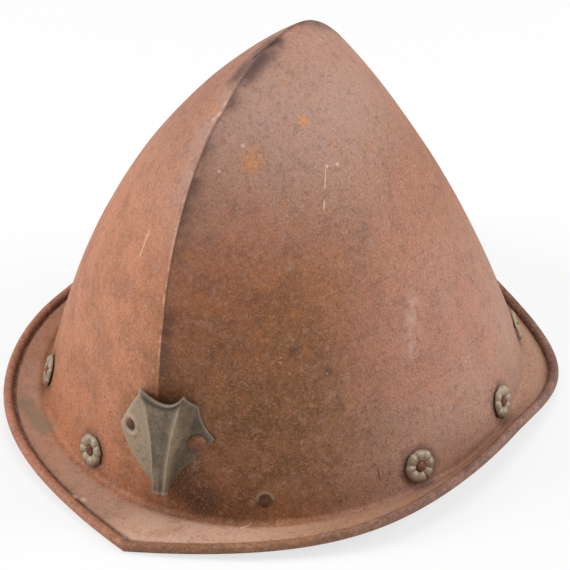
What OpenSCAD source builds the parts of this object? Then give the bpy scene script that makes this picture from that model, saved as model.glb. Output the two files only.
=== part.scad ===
// A musketeer's helmet: a pointed iron skull with a keel, a narrow dished brim whose edge is
// rolled over a wire, a row of lining rivets on brass rosettes, and a brass plume holder.
// Millimetres. +Y is the wearer's front, +X the wearer's right, +Z up. The brim's rolled edge
// rests on Z = 0 and the origin lies on the ground under the middle of the brim's length.

/* [Skull] */
// Height of the crown above the ground
crown_h = 186; // [172:1:200]
// Length of the skull where it meets the brim
skull_l = 239.5; // [228:0.5:250]
// Half the skull's width where it meets the brim
skull_half_w = 111.6; // [106:0.2:118]
// How far the crown lies in front of the origin
crown_y = 2.2; // [-3:0.1:8]
// Thickness of the iron sheet
sheet = 1.6; // [1.2:0.1:2]
// How sharp the keel is at the crown (0 is a smooth oval)
keel = 3.5; // [1:0.1:4.5]
// Half the length of the blunt crest on the crown
crest_half_l = 30; // [20:1:36]
// Half the width of that crest
crest_half_w = 1.7; // [1:0.1:4]
// Height of the skull's foot at the front and back ends
foot_z = 2.6; // [2.4:0.1:4]
// How far the foot rises from there to the sides
foot_arch = 3.4; // [1:0.1:5]

/* [Brim] */
// Width of the brim at the sides, from the skull to the middle of the roll
brim_side_w = 8.8; // [7.5:0.1:13]
// Reach of the brim behind the skull
brim_back_w = 30.6; // [27:0.1:34]
// Reach of the brim in front of the skull
brim_front_w = 21.7; // [19:0.1:26]
// How far the brim's widest place lies in front of the origin
brim_wide_y = -2; // [-5:0.5:6]
// Fullness of the back outline (2 is an oval, more is squarer)
fullness_back = 3.51; // [2.6:0.01:4]
// Fullness of the front outline
fullness_front = 2.77; // [2.2:0.01:3.4]
// Hollow or swell of the outline halfway to the back peak
swell_back = -4.7; // [-6:0.1:0]
// Hollow or swell of the outline halfway to the front peak
swell_front = 5.4; // [0:0.1:6]
// Control heights of the edge, from the back peak round to the front peak
edge_heights = [0, 6.9, 20.1, 17.9, -23.8, 15.4]; // [-25:0.1:25]
// Radius of the rolled edge
roll_r = 2.4; // [2:0.1:3]
// Depth to which the roll is worn flat where the helmet rests
wear = 0.15; // [0.05:0.05:0.3]
// Radius of the wire inside the roll
wire_r = 1.25; // [0.9:0.05:1.3]
// Gap left between the wire and the roll
wire_gap = 0.05; // [0.03:0.01:0.1]

/* [Lining rivets and rosettes] */
// Bearings of the rivets on the wearer's right, in degrees round from the back keel
right_bearings = [23.5, 61, 94, 128, 161]; // [20:0.5:162]
// Bearings of the rivets on the wearer's left
left_bearings = [21, 54, 91, 127, 160]; // [20:0.5:162]
// Height of the row above the skull's foot
rivet_rise = 10.4; // [10:0.1:12]
// The right-hand rivet whose rosette is lost
lost_rosette = 0; // [0:1:4]
// Radius of a rivet's shank
shank_r = 1.5; // [1.2:0.05:1.8]
// Clearance between a shank and its hole, on the radius
hole_clearance = 0.05; // [0.03:0.01:0.1]
// Radius of a lining rivet's head
head_r = 2.9; // [2.4:0.1:3.2]
// Height of a lining rivet's head
head_h = 1.9; // [1.2:0.1:2.4]
// Radius of a rosette
rosette_r = 8; // [7:0.1:8.4]
// Petals on a rosette
petals = 8; // [6:1:10]

/* [Plume holder] */
// Thickness of the brass sheet
brass = 1.2; // [0.8:0.1:1.6]
// Height of its lower end above the ground
holder_low_z = 14.5; // [12:0.5:17]
// Height of its two upper peaks
holder_top_z = 70; // [64:0.5:74]
// Height of its two ears
ear_z = 41; // [38:0.5:43]
// Half the width across the ears
ear_half_w = 23.5; // [22:0.5:27]
// Half the width of the channel at the top
channel_top_half_w = 10.2; // [8:0.1:11]
// Half the width of the channel at the bottom
channel_low_half_w = 3.2; // [2.4:0.1:4]
// Depth of the channel at the top
channel_top_depth = 5.6; // [4.6:0.1:7]
// Depth of the channel at the bottom
channel_low_depth = 4.8; // [4:0.1:5.6]
// How far the top edge dips between the peaks
top_dip = 6.5; // [2:0.5:8]
// How far the channel's folds stand up at the top
fold_rise = 0.4; // [0:0.1:1.4]
// How far the channel's top sits to the wearer's right of the keel
holder_shift = 6.5; // [0:0.5:7]
// How far the channel's lower end sits to that side
holder_low_shift = 3; // [0:0.5:4]
// How many degrees it leans, right side up
holder_tilt = 6; // [0:0.5:7]
// Half the distance between the holder rivets
holder_rivet_x = 16.5; // [15.8:0.1:18]
// How far their middle sits to that side
holder_rivet_shift = 0.6; // [0:0.1:1]
// Height of the holder rivets
holder_rivet_z = 41; // [38:0.5:43]
// Radius of a holder rivet's head
holder_head_r = 4.3; // [3.6:0.1:4.8]
// Height of a holder rivet's head
holder_head_h = 2.6; // [2:0.1:3.2]

/* [Lining] */
// Thickness of the leather band
band_thick = 1.8; // [1.4:0.1:2.2]
// Height of the band's lower edge above the skull's foot
band_low = 3.2; // [2.5:0.1:4]
// Height of the band
band_h = 20; // [16:1:24]
// Thickness of the quilted liner
liner_thick = 9; // [7:0.5:12]
// Height of the liner's lower edge above the skull's foot
liner_low = 15.5; // [15:0.5:18]
// Height of the liner's rounded top, on the outside
liner_top_z = 152; // [140:1:158]
// Radius of the draw lace
lace_r = 1.3; // [1:0.1:1.8]
// Radius of the ring that the lace lies in
lace_ring_r = 9; // [7:0.5:12]

/* [Hidden] */
$fn = 32;

// Stations round the helmet in each quarter, and rings up the skull, the fillets and the roll
quarter_steps = 22;
stations = 4 * quarter_steps;
wall_steps = 19;
inner_steps = 10;
fillet_steps = 4;
inner_fillet_steps = 3;
roll_steps = 11;
// How much the outer rings crowd towards the crown and the inner ones towards the foot
crown_crowding = 0.45;
foot_crowding = 1.4;
// Where the rings of the inner face stop, as a share of the way to the crown
inner_end = 0.8;
// Clearance between stacked pieces that don't press on each other, and between those that do
stack_gap = 0.35;
skin = 0.02;
// How far a cut runs past what it cuts, and how deep a joined shape bites into its neighbour
over = 1;
bite = 0.1;

// The origin lies under the middle of the brim's length
brim_half_l = (skull_l + brim_back_w + brim_front_w) / 2;
brim_half_w = skull_half_w + brim_side_w;
skull_back = brim_half_l - brim_back_w;
skull_front = brim_half_l - brim_front_w;

// Control values of the skull's curves, from the foot to the crown
height_curve = [foot_z, 0.59 * crown_h, 0.95 * crown_h, crown_h, crown_h];
side_curve = [skull_half_w, 0.785 * skull_half_w, 0.231 * skull_half_w, crest_half_w, 0];
back_curve = [-skull_back, -0.998 * skull_back, -0.886 * skull_back, crown_y - crest_half_l, crown_y];
front_curve = [skull_front, 0.989 * skull_front, 0.416 * skull_front, crown_y + crest_half_l, crown_y];
foot_mid = (skull_front - skull_back) / 2;
foot_half_l = (skull_front + skull_back) / 2;

// Bezier curve through control values c at s = 0 to 1
function bezier(c, s) = len(c) == 1 ? c[0]
    : bezier([for (i = [0 : len(c) - 2]) c[i] * (1 - s) + c[i + 1] * s], s);
function unit(v) = v / norm(v);
function clamp(v, low, high) = min(high, max(low, v));
function smooth(v) = let(c = clamp(v, 0, 1)) c * c * (3 - 2 * c);

// Rise of the skull's lower rings towards the sides, fading out at the crown
function arch(y, z) = foot_arch * (1 - pow((y - foot_mid) / foot_half_l, 2))
    * pow(clamp(1 - (z - foot_z) / (crown_h - foot_z), 0, 1), 2);

// The ring at share s of the way up, moved in by inset: middle, half length, half width, keel
// factor and height
function ring(s, inset) = let(
    back = bezier(back_curve, s),
    front = bezier(front_curve, s),
    k = keel * s,
    half_l = (front - back) / 2 - inset * (1 + 0.5 * s))
    [(front + back) / 2, half_l * (1 + k) / sqrt(1 + 2 * k),
     bezier(side_curve, s) - inset * (1 + 0.2 * s), k, bezier(height_curve, s) - inset * s];

// The point of a ring at angle a from its side; forward is 1 in front and -1 behind
function ring_point(r, a, forward) = let(y = r[0] + forward * r[1] * sin(a))
    [r[2] * ((1 + r[3]) * cos(a) - r[3]), y, r[4] + arch(y, r[4])];

// A point of the skull. turn runs 0 to 4 from the back keel through the right side, the front
// and the left side
function wall(s, turn, inset = 0) = let(
    quarter = floor(turn) % 4,
    part = turn - floor(turn),
    from_side = quarter % 2 == 0 ? 1 - part : part,
    forward = quarter == 1 || quarter == 2 ? 1 : -1,
    r = ring(s, inset),
    p = ring_point(r, from_side * acos(r[3] / (1 + r[3])), forward))
    [quarter < 2 ? p.x : -p.x, p.y, p.z];

// Outward normal of the skull
function wall_normal(s, turn, d = 0.004) = let(
    up = wall(s + d, turn) - wall(s, turn),
    round = wall(s, turn + d) - wall(s, turn - d))
    unit(cross(round, up));

// Bearing of a point round the foot's middle: 0 behind, 90 at the right side, 180 in front
function bearing(p) = atan2(p.x, foot_mid - p.y);

// The middle of the rolled edge on the right side; t runs -1 to 1 from the back to the front
function edge(t) = let(
    a = abs(t),
    full = t < 0 ? fullness_back : fullness_front,
    swell = t < 0 ? swell_back : swell_front)
    [brim_half_w * (1 - pow(a, full)) + swell * pow(sin(180 * a), 2),
     brim_wide_y + (brim_half_l - sign(t) * brim_wide_y) * t,
     roll_r - wear + bezier(edge_heights, (t + 1) / 2)];
function edge_t(b, low = -1, high = 1, n = 20) = let(mid = (low + high) / 2)
    n == 0 ? mid
    : bearing(edge(mid)) < b ? edge_t(b, mid, high, n - 1) : edge_t(b, low, mid, n - 1);

// The skull's foot and the rolled edge at every station
feet = [for (i = [0 : stations - 1]) wall(0, i / quarter_steps)];
edges = [for (f = feet) let(e = edge(edge_t(bearing([abs(f.x), f.y])))) [f.x < 0 ? -e.x : e.x, e.y, e.z]];

// Outward direction along the ground from the foot to the edge at station i
function outward(i) = unit([edges[i].x - feet[i].x, edges[i].y - feet[i].y, 0]);
// A point beside the edge: a is outward, b is up
function beside(i, a, b) = edges[i] + a * outward(i) + [0, 0, b];
function arc(i, r, from, to, n) = [for (j = [0 : n])
    let(a = from + (to - from) * j / n) beside(i, r * cos(a), r * sin(a))];

// The sheet enters the roll below its middle, passes over the wire and ends at a seam below
entry_b = -0.3;
entry_angle = 180 + asin(-entry_b / roll_r);
seam_angle = -100;
tunnel_r = wire_r + wire_gap;
tunnel_end_angle = 235;
fillet_h = 2.2;
fillet_w = 3.5;
inner_fillet_h = 2.4;

// Turn every ring of points into one closed skin between two pole points
function ring_faces(n, m, close) = [for (i = [0 : n - 1]) for (j = [0 : m - (close ? 1 : 2)])
    let(a = i * m + j, b = i * m + (j + 1) % m,
        c = ((i + 1) % n) * m + (j + 1) % m, d = ((i + 1) % n) * m + j)
    each [[a, c, b], [a, d, c]]];
module closed_ring(sections) {
    polyhedron([for (s = sections) each s], ring_faces(len(sections), len(sections[0]), true),
        convexity = 8);
}
module capped_skin(sections, first_pole, last_pole) {
    n = len(sections);
    m = len(sections[0]);
    polyhedron(
        concat([for (s = sections) each s], [first_pole, last_pole]),
        concat(ring_faces(n, m, false),
            [for (i = [0 : n - 1]) [n * m, ((i + 1) % n) * m, i * m]],
            [for (i = [0 : n - 1]) [n * m + 1, i * m + m - 1, ((i + 1) % n) * m + m - 1]]),
        convexity = 8);
}

// Share of the way up at which the wall at this turn reaches height z
function share_at(z, turn, inset = 0, low = 0, high = 0.9, n = 18) = let(mid = (low + high) / 2)
    n == 0 ? mid
    : wall(mid, turn, inset).z < z ? share_at(z, turn, inset, mid, high, n - 1)
    : share_at(z, turn, inset, low, mid, n - 1);

// How far the middle of the inner face lies above its last ring
inner_pole_rise = 0.3;

// The skull's section at station i, from beside the crown out round the roll and back inside
function skull_section(i) = let(
    turn = i / quarter_steps,
    foot = feet[i],
    start_s = share_at(foot.z + fillet_h, turn, 0, 0, 0.1),
    entry = beside(i, roll_r * cos(entry_angle), entry_b),
    fillet_end = foot + fillet_w * unit(entry - foot),
    under = beside(i, -wire_r, entry_b - sheet),
    in_foot = wall(0, turn, sheet) - [0, 0, sheet],
    in_fillet_end = in_foot + (fillet_w + sheet) * unit(under - in_foot),
    in_start_s = share_at(foot.z + inner_fillet_h, turn, sheet, 0, 0.1))
    concat(
        [for (j = [1 : wall_steps]) let(q = 1 - j / wall_steps)
            wall(start_s + (1 - start_s) * q * (1 - crown_crowding * (1 - q)), turn)],
        [for (j = [1 : fillet_steps])
            bezier([wall(start_s, turn), foot, fillet_end], j / fillet_steps)],
        [(fillet_end + entry) / 2],
        arc(i, roll_r, entry_angle, -90, roll_steps),
        [beside(i, roll_r * cos(seam_angle), roll_r * sin(seam_angle))],
        arc(i, tunnel_r, seam_angle, tunnel_end_angle, roll_steps),
        [under, in_fillet_end],
        [for (j = [1 : inner_fillet_steps])
            bezier([in_fillet_end, in_foot, wall(in_start_s, turn, sheet)], j / inner_fillet_steps)],
        [for (j = [1 : inner_steps]) let(q = pow(j / inner_steps, foot_crowding))
            wall(in_start_s + (inner_end - in_start_s) * q, turn, sheet)]);

// Places of the lining rivets: the wall point and its outward normal
function turn_at(b, s, low, high, n = 18) = let(mid = (low + high) / 2)
    n == 0 ? mid
    : bearing(wall(s, mid)) < b ? turn_at(b, s, mid, high, n - 1) : turn_at(b, s, low, mid, n - 1);
function rivet_place(b, side) = let(
    foot_turn = turn_at(b, 0, 0, 2),
    z = wall(0, foot_turn).z + rivet_rise,
    turn = turn_at(b, share_at(z, foot_turn), 0, 2),
    s = share_at(z, turn),
    p = wall(s, turn),
    n = wall_normal(s, turn))
    [[side * p.x, p.y, p.z], [side * n.x, n.y, n.z]];
right_places = [for (b = right_bearings) rivet_place(b, 1)];
left_places = [for (b = left_bearings) rivet_place(b, -1)];
lining_places = concat(right_places, left_places);
rosette_places = concat(
    [for (i = [0 : len(right_places) - 1]) if (i != lost_rosette) right_places[i]], left_places);

// Stand the children on the skull: +Z along the normal
module on_wall(place) {
    translate(place[0])
        rotate([0, acos(place[1].z), atan2(place[1].y, place[1].x)])
            children();
}
// A head cut from a ball, r wide and h high, on Z = 0
module domed_head(r, h) {
    ball = (r * r + h * h) / (2 * h);
    intersection() {
        translate([0, 0, h - ball]) sphere(ball, $fn = 48);
        translate([-r - over, -r - over, 0]) cube([2 * (r + over), 2 * (r + over), h + over]);
    }
}

// Stack on a lining rivet, measured along it from the skull's outer face
hole_r = shank_r + hole_clearance;
drill_l = 24;
rosette_back = 0.1;
rosette_boss = 0.9;
rosette_boss_r = 3.4;
rosette_sheet = 0.7;
head_seat = rosette_back + rosette_boss + rosette_sheet + skin;
// The rosette's disc, the middle of a petal, the petal and its bulge, as shares of its radius
disc_share = 0.62;
petal_middle = 0.66;
petal_share = 0.33;
bulge_share = 0.31;
petal_h = 0.4;
bulge_low = 0.3;
bulge_h = 1.1;
// The raised ring round the rivet's head
ring_gap = 0.75;
ring_wire_r = 0.6;
head_clearance = 0.1;
// Behind the skull: the band, a burr that lies flat against its curve, and the rivet's tail
band_outer = sheet + stack_gap;
burr_t = 0.8;
burr_r = 4;
band_curve_gap = 0.4;
skull_curve_gap = 0.18;
burr_top = band_outer + band_thick + band_curve_gap;
holder_burr_top = sheet + stack_gap + skull_curve_gap;
tail_r = 2.3;
tail_h = 1.1;

module rivet_hole(place) {
    on_wall(place) cylinder(r = hole_r, h = drill_l, center = true);
}
module rivet(head_radius, head_height, seat, burr_low) {
    tail = burr_low + skin;
    translate([0, 0, seat]) domed_head(head_radius, head_height);
    translate([0, 0, -tail]) cylinder(r = shank_r, h = seat + tail + bite);
    translate([0, 0, -tail]) mirror([0, 0, 1]) domed_head(tail_r, tail_h);
}
module burr(top) {
    translate([0, 0, -top - burr_t]) difference() {
        cylinder(r = burr_r, h = burr_t);
        translate([0, 0, -over]) cylinder(r = hole_r, h = burr_t + 2 * over);
    }
}

// Plume holder: a point of the back wall at a given x and height
function back_point(s, x) = let(r = ring(s, 0), c = clamp((x / r[2] + r[3]) / (1 + r[3]), -1, 1))
    ring_point(r, acos(c), -1);
function back_share(x, z, low = 0, high = 0.6, n = 18) = let(mid = (low + high) / 2)
    n == 0 ? mid
    : back_point(mid, x).z < z ? back_share(x, z, mid, high, n - 1)
    : back_share(x, z, low, mid, n - 1);
function back_y(x, z) = back_point(back_share(abs(x), z), abs(x)).y;

holder_rows = 16;
wing_cols = 6;
channel_cols = 6;
wing_gap = 0.25;
holder_head_gap = 0.15;
holder_seat = wing_gap + brass + holder_head_gap;
// The wings' width beyond the channel at the top and bottom, and the form of their outline: shares
// of the ears' width that lead the edge up to the ear and on to the peak, at the left and right
peak_half_w = channel_top_half_w + 0.6;
foot_half_w = channel_low_half_w + 0.6;
left_rise = [0.51, 0.94];
left_crest = [0.86, 0.66];
right_rise = [0.1, 0.56];
right_crest = [0.76, 0.34];
// How late the channel opens out on its way up
channel_flare = 2;
ear_share = (ear_z - holder_low_z) / (holder_top_z - holder_low_z);
// The channel's side slopes down to the skull over this share of the wing, and at least this far
// at the bottom and the top
slope_share = 0.18;
slope_low_least = 1.4;
slope_top_least = 9;
// How much of the sideways shift is gone at the ears
shift_fade = 0.85;
// How sharply the sheet rises towards its folds
fold_power = 3;
// The thickened lip along the top edge
lip_rows = 2;
lip = 0.8;
function between(a, b, f) = a + (b - a) * f;
function holder_half_w(f, side) = let(
    rise = (side < 0 ? left_rise : right_rise) * ear_half_w,
    crest = (side < 0 ? left_crest : right_crest) * ear_half_w) f < ear_share
    ? bezier([foot_half_w, rise[0], rise[1], ear_half_w], f / ear_share)
    : bezier([ear_half_w, crest[0], crest[1], peak_half_w], (f - ear_share) / (1 - ear_share));
function channel_half_w(f) = between(channel_low_half_w, channel_top_half_w, pow(f, channel_flare));

// The shift fades towards the ears, and the tilt lifts the right side
function shifted(f, x) =
    x + between(holder_low_shift, holder_shift, f) * (1 - shift_fade * pow(x / ear_half_w, 2));
function tilted(x, z) = z + x * tan(holder_tilt);

// One row of the holder at share f of its height, as signed offsets from its middle
function row_xs(f) = let(c = channel_half_w(f)) concat(
    [for (j = [0 : wing_cols - 1]) -between(holder_half_w(f, -1), c, j / wing_cols)],
    [for (j = [0 : channel_cols]) between(-c, c, j / channel_cols)],
    [for (j = [1 : wing_cols]) between(c, holder_half_w(f, 1), j / wing_cols)]);
function holder_point(f, x, depth) = let(
    c = channel_half_w(f),
    e = holder_half_w(f, sign(x)),
    z = tilted(x, between(holder_low_z, holder_top_z - top_dip * (1 - pow(x / e, 2)) * f * f, f)),
    flat = back_y(0, z) - between(channel_low_depth, channel_top_depth, f)
        - fold_rise * f * pow(min(1, abs(x) / c), fold_power),
    wing = back_y(shifted(f, x), z) - wing_gap,
    slope = max(between(slope_low_least, slope_top_least, f * f), slope_share * (e - c)),
    drop = smooth((abs(x) - c) / slope))
    [shifted(f, x), between(min(flat, wing), wing, drop) - depth, z];
function holder_row(i, depth) = let(
    f = i / holder_rows,
    thicker = depth > 0 && i > holder_rows - lip_rows ? lip : 0)
    [for (x = row_xs(f)) holder_point(f, x, depth + thicker)];

holder_places = [for (side = [1, -1]) let(
    x = holder_rivet_x + side * holder_rivet_shift,
    z = holder_rivet_z,
    across = [1, back_y(x + 0.5, z) - back_y(x - 0.5, z), 0],
    up = [0, back_y(x, z + 0.5) - back_y(x, z - 0.5), 1],
    n = unit(cross(across, up)))
    [[side * x, back_y(x, z), z], [side * n.x, n.y, n.z]]];

// Lining: the liner follows the skull to a share of its height and closes in a dome above that.
// It draws away from the skull and leans back towards its top
liner_quarter_steps = 11;
liner_steps = 9;
liner_follow = 0.86;
liner_draw = 9;
liner_lean = 6;
liner_out = sheet + band_thick + 3 * stack_gap;
lace_drop = 1.5;
function liner_point(f, turn, depth) = let(
    lift = sin(90 * f),
    low = wall(0, turn).z + liner_low,
    out = wall(share_at(between(low, liner_follow * liner_top_z, lift), turn), turn,
        liner_out + depth + liner_draw * pow(lift, 3)),
    close = sqrt(max(0, 1 - pow(f, 5))),
    dome_h = (1 - liner_follow) * liner_top_z)
    [out.x * close, foot_mid + (out.y - foot_mid) * close - liner_lean * pow(f, 2),
     out.z + (dome_h - depth * lift) * pow(lift, 8)];

module skull() {
    color("sienna") difference() {
        capped_skin([for (i = [0 : stations - 1]) skull_section(i)],
            [0, crown_y, crown_h],
            [0, crown_y, ring(inner_end, sheet)[4] + inner_pole_rise]);
        for (p = concat(lining_places, holder_places)) rivet_hole(p);
        mirror([0, 0, 1]) translate([-2 * brim_half_w, -2 * brim_half_l, 0])
            cube([4 * brim_half_w, 4 * brim_half_l, roll_r]);
    }
}
module rim_wire() {
    color("dimgray") closed_ring([for (i = [0 : stations - 1])
        [for (a = [0 : 45 : 315]) beside(i, wire_r * cos(-a), wire_r * sin(-a))]]);
}
module petal() {
    cylinder(r = petal_share * rosette_r, h = petal_h);
    translate([0, 0, bulge_low]) domed_head(bulge_share * rosette_r, bulge_h);
}
module rosette() {
    color("darkkhaki") difference() {
        union() {
            translate([0, 0, rosette_back])
                cylinder(r = rosette_boss_r, h = rosette_boss + bite);
            translate([0, 0, rosette_back + rosette_boss]) {
                cylinder(r = disc_share * rosette_r, h = rosette_sheet);
                for (i = [0 : petals - 1]) rotate(i * 360 / petals)
                    translate([petal_middle * rosette_r, 0, 0]) petal();
                translate([0, 0, rosette_sheet]) rotate_extrude()
                    translate([head_r + ring_gap, 0]) circle(r = ring_wire_r);
            }
        }
        translate([0, 0, -over]) cylinder(r = hole_r, h = head_seat + 2 * over);
        translate([0, 0, head_seat - skin])
            cylinder(r = head_r + head_clearance, h = head_h + over);
    }
}
module lining_rivets() {
    color("saddlebrown") for (p = lining_places) on_wall(p)
        rivet(head_r, head_h, head_seat, burr_top + burr_t);
}
module lining_burrs() {
    color("saddlebrown") for (p = lining_places) on_wall(p) burr(burr_top);
}
module lining_band() {
    color("peru") difference() {
        closed_ring([for (i = [0 : stations - 1]) let(
            turn = i / quarter_steps,
            low = share_at(feet[i].z + band_low, turn, band_outer, 0, 0.2),
            high = share_at(feet[i].z + band_low + band_h, turn, band_outer, 0, 0.2))
            [wall(high, turn, band_outer), wall(low, turn, band_outer),
             wall(low, turn, band_outer + band_thick), wall(high, turn, band_outer + band_thick)]]);
        for (p = lining_places) rivet_hole(p);
    }
}
module liner() {
    n = liner_steps;
    color("wheat") capped_skin(
        [for (i = [0 : 4 * liner_quarter_steps - 1]) let(t = i / liner_quarter_steps) concat(
            [for (j = [1 : n]) liner_point(1 - j / n, t, 0)],
            [for (j = [0 : n - 1]) liner_point(j / n, t, liner_thick)])],
        liner_point(1, 0, 0), liner_point(1, 0, liner_thick));
}
module liner_lace() {
    crown = liner_point(1, 0, liner_thick);
    color("tan") translate(crown - [0, 0, lace_r + lace_drop])
        rotate_extrude($fn = 48) translate([lace_ring_r, 0]) circle(r = lace_r, $fn = 16);
}
module plume_holder() {
    m = wing_cols * 2 + channel_cols + 1;
    n = holder_rows + 1;
    inner = [for (i = [0 : holder_rows]) each holder_row(i, 0)];
    outer = [for (i = [0 : holder_rows]) each holder_row(i, brass)];
    rim = concat(
        [for (j = [0 : m - 2]) j],
        [for (i = [0 : n - 2]) i * m + m - 1],
        [for (j = [m - 1 : -1 : 1]) (n - 1) * m + j],
        [for (i = [n - 1 : -1 : 1]) i * m]);
    color("olivedrab") difference() {
        polyhedron(concat(inner, outer), concat(
            [for (i = [0 : n - 2]) for (j = [0 : m - 2]) let(a = i * m + j)
                each [[a, a + m + 1, a + m], [a, a + 1, a + m + 1]]],
            [for (i = [0 : n - 2]) for (j = [0 : m - 2]) let(a = n * m + i * m + j)
                each [[a, a + m + 1, a + 1], [a, a + m, a + m + 1]]],
            [for (k = [0 : len(rim) - 1]) let(a = rim[k], b = rim[(k + 1) % len(rim)])
                each [[a, b + n * m, b], [a, a + n * m, b + n * m]]]),
            convexity = 6);
        for (p = holder_places) rivet_hole(p);
    }
}
module plume_rivets() {
    color("saddlebrown") for (p = holder_places) on_wall(p)
        rivet(holder_head_r, holder_head_h, holder_seat, holder_burr_top + burr_t);
}
module plume_burrs() {
    color("saddlebrown") for (p = holder_places) on_wall(p) burr(holder_burr_top);
}

skull();
rim_wire();
lining_rivets();
lining_burrs();
lining_band();
liner();
liner_lace();
plume_holder();
plume_rivets();
plume_burrs();
for (i = [0 : len(rosette_places) - 1])
    on_wall(rosette_places[i]) rosette();
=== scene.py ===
# %% [markdown]
# # A musketeer's helmet
# This lesson dresses a helmet of rusted iron: a pointed skull with a keel, a narrow brim rolled
# over a wire, a row of brass rosettes and a brass holder for a plume. The solid model gives every
# place and size. Here the same curves are drawn again with more points, and every piece gets a
# finish made of nodes.

# %% Load the solid model
import math
from functools import reduce

import bpy
import numpy as np
from mathutils import Matrix, Vector


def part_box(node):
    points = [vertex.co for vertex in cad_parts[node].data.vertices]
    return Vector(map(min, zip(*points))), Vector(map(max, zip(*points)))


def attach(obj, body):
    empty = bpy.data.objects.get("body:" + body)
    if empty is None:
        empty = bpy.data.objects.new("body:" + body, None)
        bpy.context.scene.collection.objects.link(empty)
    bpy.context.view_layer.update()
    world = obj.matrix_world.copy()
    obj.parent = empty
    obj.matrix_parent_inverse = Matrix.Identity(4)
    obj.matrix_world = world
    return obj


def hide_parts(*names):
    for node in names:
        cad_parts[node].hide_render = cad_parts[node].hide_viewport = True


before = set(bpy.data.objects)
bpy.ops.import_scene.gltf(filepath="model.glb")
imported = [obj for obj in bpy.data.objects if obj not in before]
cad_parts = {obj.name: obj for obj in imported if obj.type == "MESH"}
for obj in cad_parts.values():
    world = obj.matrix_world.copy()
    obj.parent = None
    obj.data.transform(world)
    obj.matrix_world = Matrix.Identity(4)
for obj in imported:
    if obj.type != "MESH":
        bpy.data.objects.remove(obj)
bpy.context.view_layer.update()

# %% [markdown]
# ## The camera
# The photograph was taken from behind the helmet, a little to the wearer's right and from above,
# with a long lens that keeps the sides almost parallel. The three unit vectors are the camera's own
# axes; they come from fitting the helmet's outline, keel and rivets to the photograph.

# %% Camera
camera_data = bpy.data.cameras.new("studio_camera")
camera = bpy.data.objects.new("studio_camera", camera_data)
bpy.context.scene.collection.objects.link(camera)
bpy.context.scene.camera = camera
camera_data.sensor_width = 36
camera_data.lens = 197.8
to_right = Vector((0.882447, 0.470335, -0.008479))
to_top = Vector((-0.252630, 0.489037, 0.834878))
to_back = Vector((0.396819, -0.734593, 0.550370))
turned = Matrix((to_right, to_top, to_back)).transposed().to_4x4()
camera.matrix_world = Matrix.Translation((0.58134, -1.07127, 0.85823)) @ turned
print("camera stands", round(camera.location.length, 3), "m from the origin")

# %% [markdown]
# ## Writing nodes as sums
# A node tree is easier to read as a formula. A Flow stands for one socket, and adding or
# multiplying Flows adds Math nodes. That keeps a finish short enough to read, where the node editor
# would need a whole wall.

# %% Flows
class Flow:
    """One number on its way through a node tree."""

    def __init__(self, bench, socket):
        self.bench, self.socket = bench, socket

    def math(self, operation, *others, flip=False):
        terms = [self, *others][::-1 if flip else 1]
        return self.bench.add("ShaderNodeMath", {"operation": operation}, dict(enumerate(terms)))

    def __add__(self, other):
        return self.math("ADD", other)

    def __sub__(self, other):
        return self.math("SUBTRACT", other)

    def __rsub__(self, other):
        return self.math("SUBTRACT", other, flip=True)

    def __mul__(self, other):
        return self.math("MULTIPLY", other)

    def __truediv__(self, other):
        return self.math("DIVIDE", other)

    def __rtruediv__(self, other):
        return self.math("DIVIDE", other, flip=True)

    def __pow__(self, other):
        return self.math("POWER", other)

    __radd__, __rmul__ = __add__, __mul__

    def at_least(self, other):
        return self.math("MAXIMUM", other)

    def at_most(self, other):
        return self.math("MINIMUM", other)

    def sine(self):
        return self.math("SINE")

    def cosine(self):
        return self.math("COSINE")

    def step(self, low, high):
        """0 at low, 1 at high and a smooth slope between; low may be the larger."""
        return self.bench.add("ShaderNodeMapRange", {"interpolation_type": "SMOOTHSTEP"},
                              {0: self, 1: low, 2: high})


# %% [markdown]
# An Arrow is a Flow that carries a vector: a place, a direction or a colour used as one. It takes
# the same sums, with Vector Math nodes, and adds lengths and dot products.

# %% Arrows
class Arrow(Flow):
    """A vector on its way through a node tree."""

    def math(self, operation, *others, flip=False, out=0):
        terms = [self, *others][::-1 if flip else 1]
        return self.bench.add("ShaderNodeVectorMath", {"operation": operation},
                              dict(enumerate(terms)), out)

    def scaled(self, factor):
        return self.bench.add("ShaderNodeVectorMath", {"operation": "SCALE"},
                              {0: self, "Scale": factor})

    def dot(self, other):
        return self.math("DOT_PRODUCT", other, out=1)

    def length(self):
        return self.math("LENGTH", out=1)

    def parts(self):
        split = self.bench.add("ShaderNodeSeparateXYZ", {}, {0: self}).socket.node
        return [Flow(self.bench, socket) for socket in split.outputs]


# %% [markdown]
# ## The bench
# Any other node goes through one method, add, which takes a node's type, its settings and what its
# sockets hold. The same bench serves materials and Geometry Nodes, so the rust and the rivets are
# written in one way.

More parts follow.
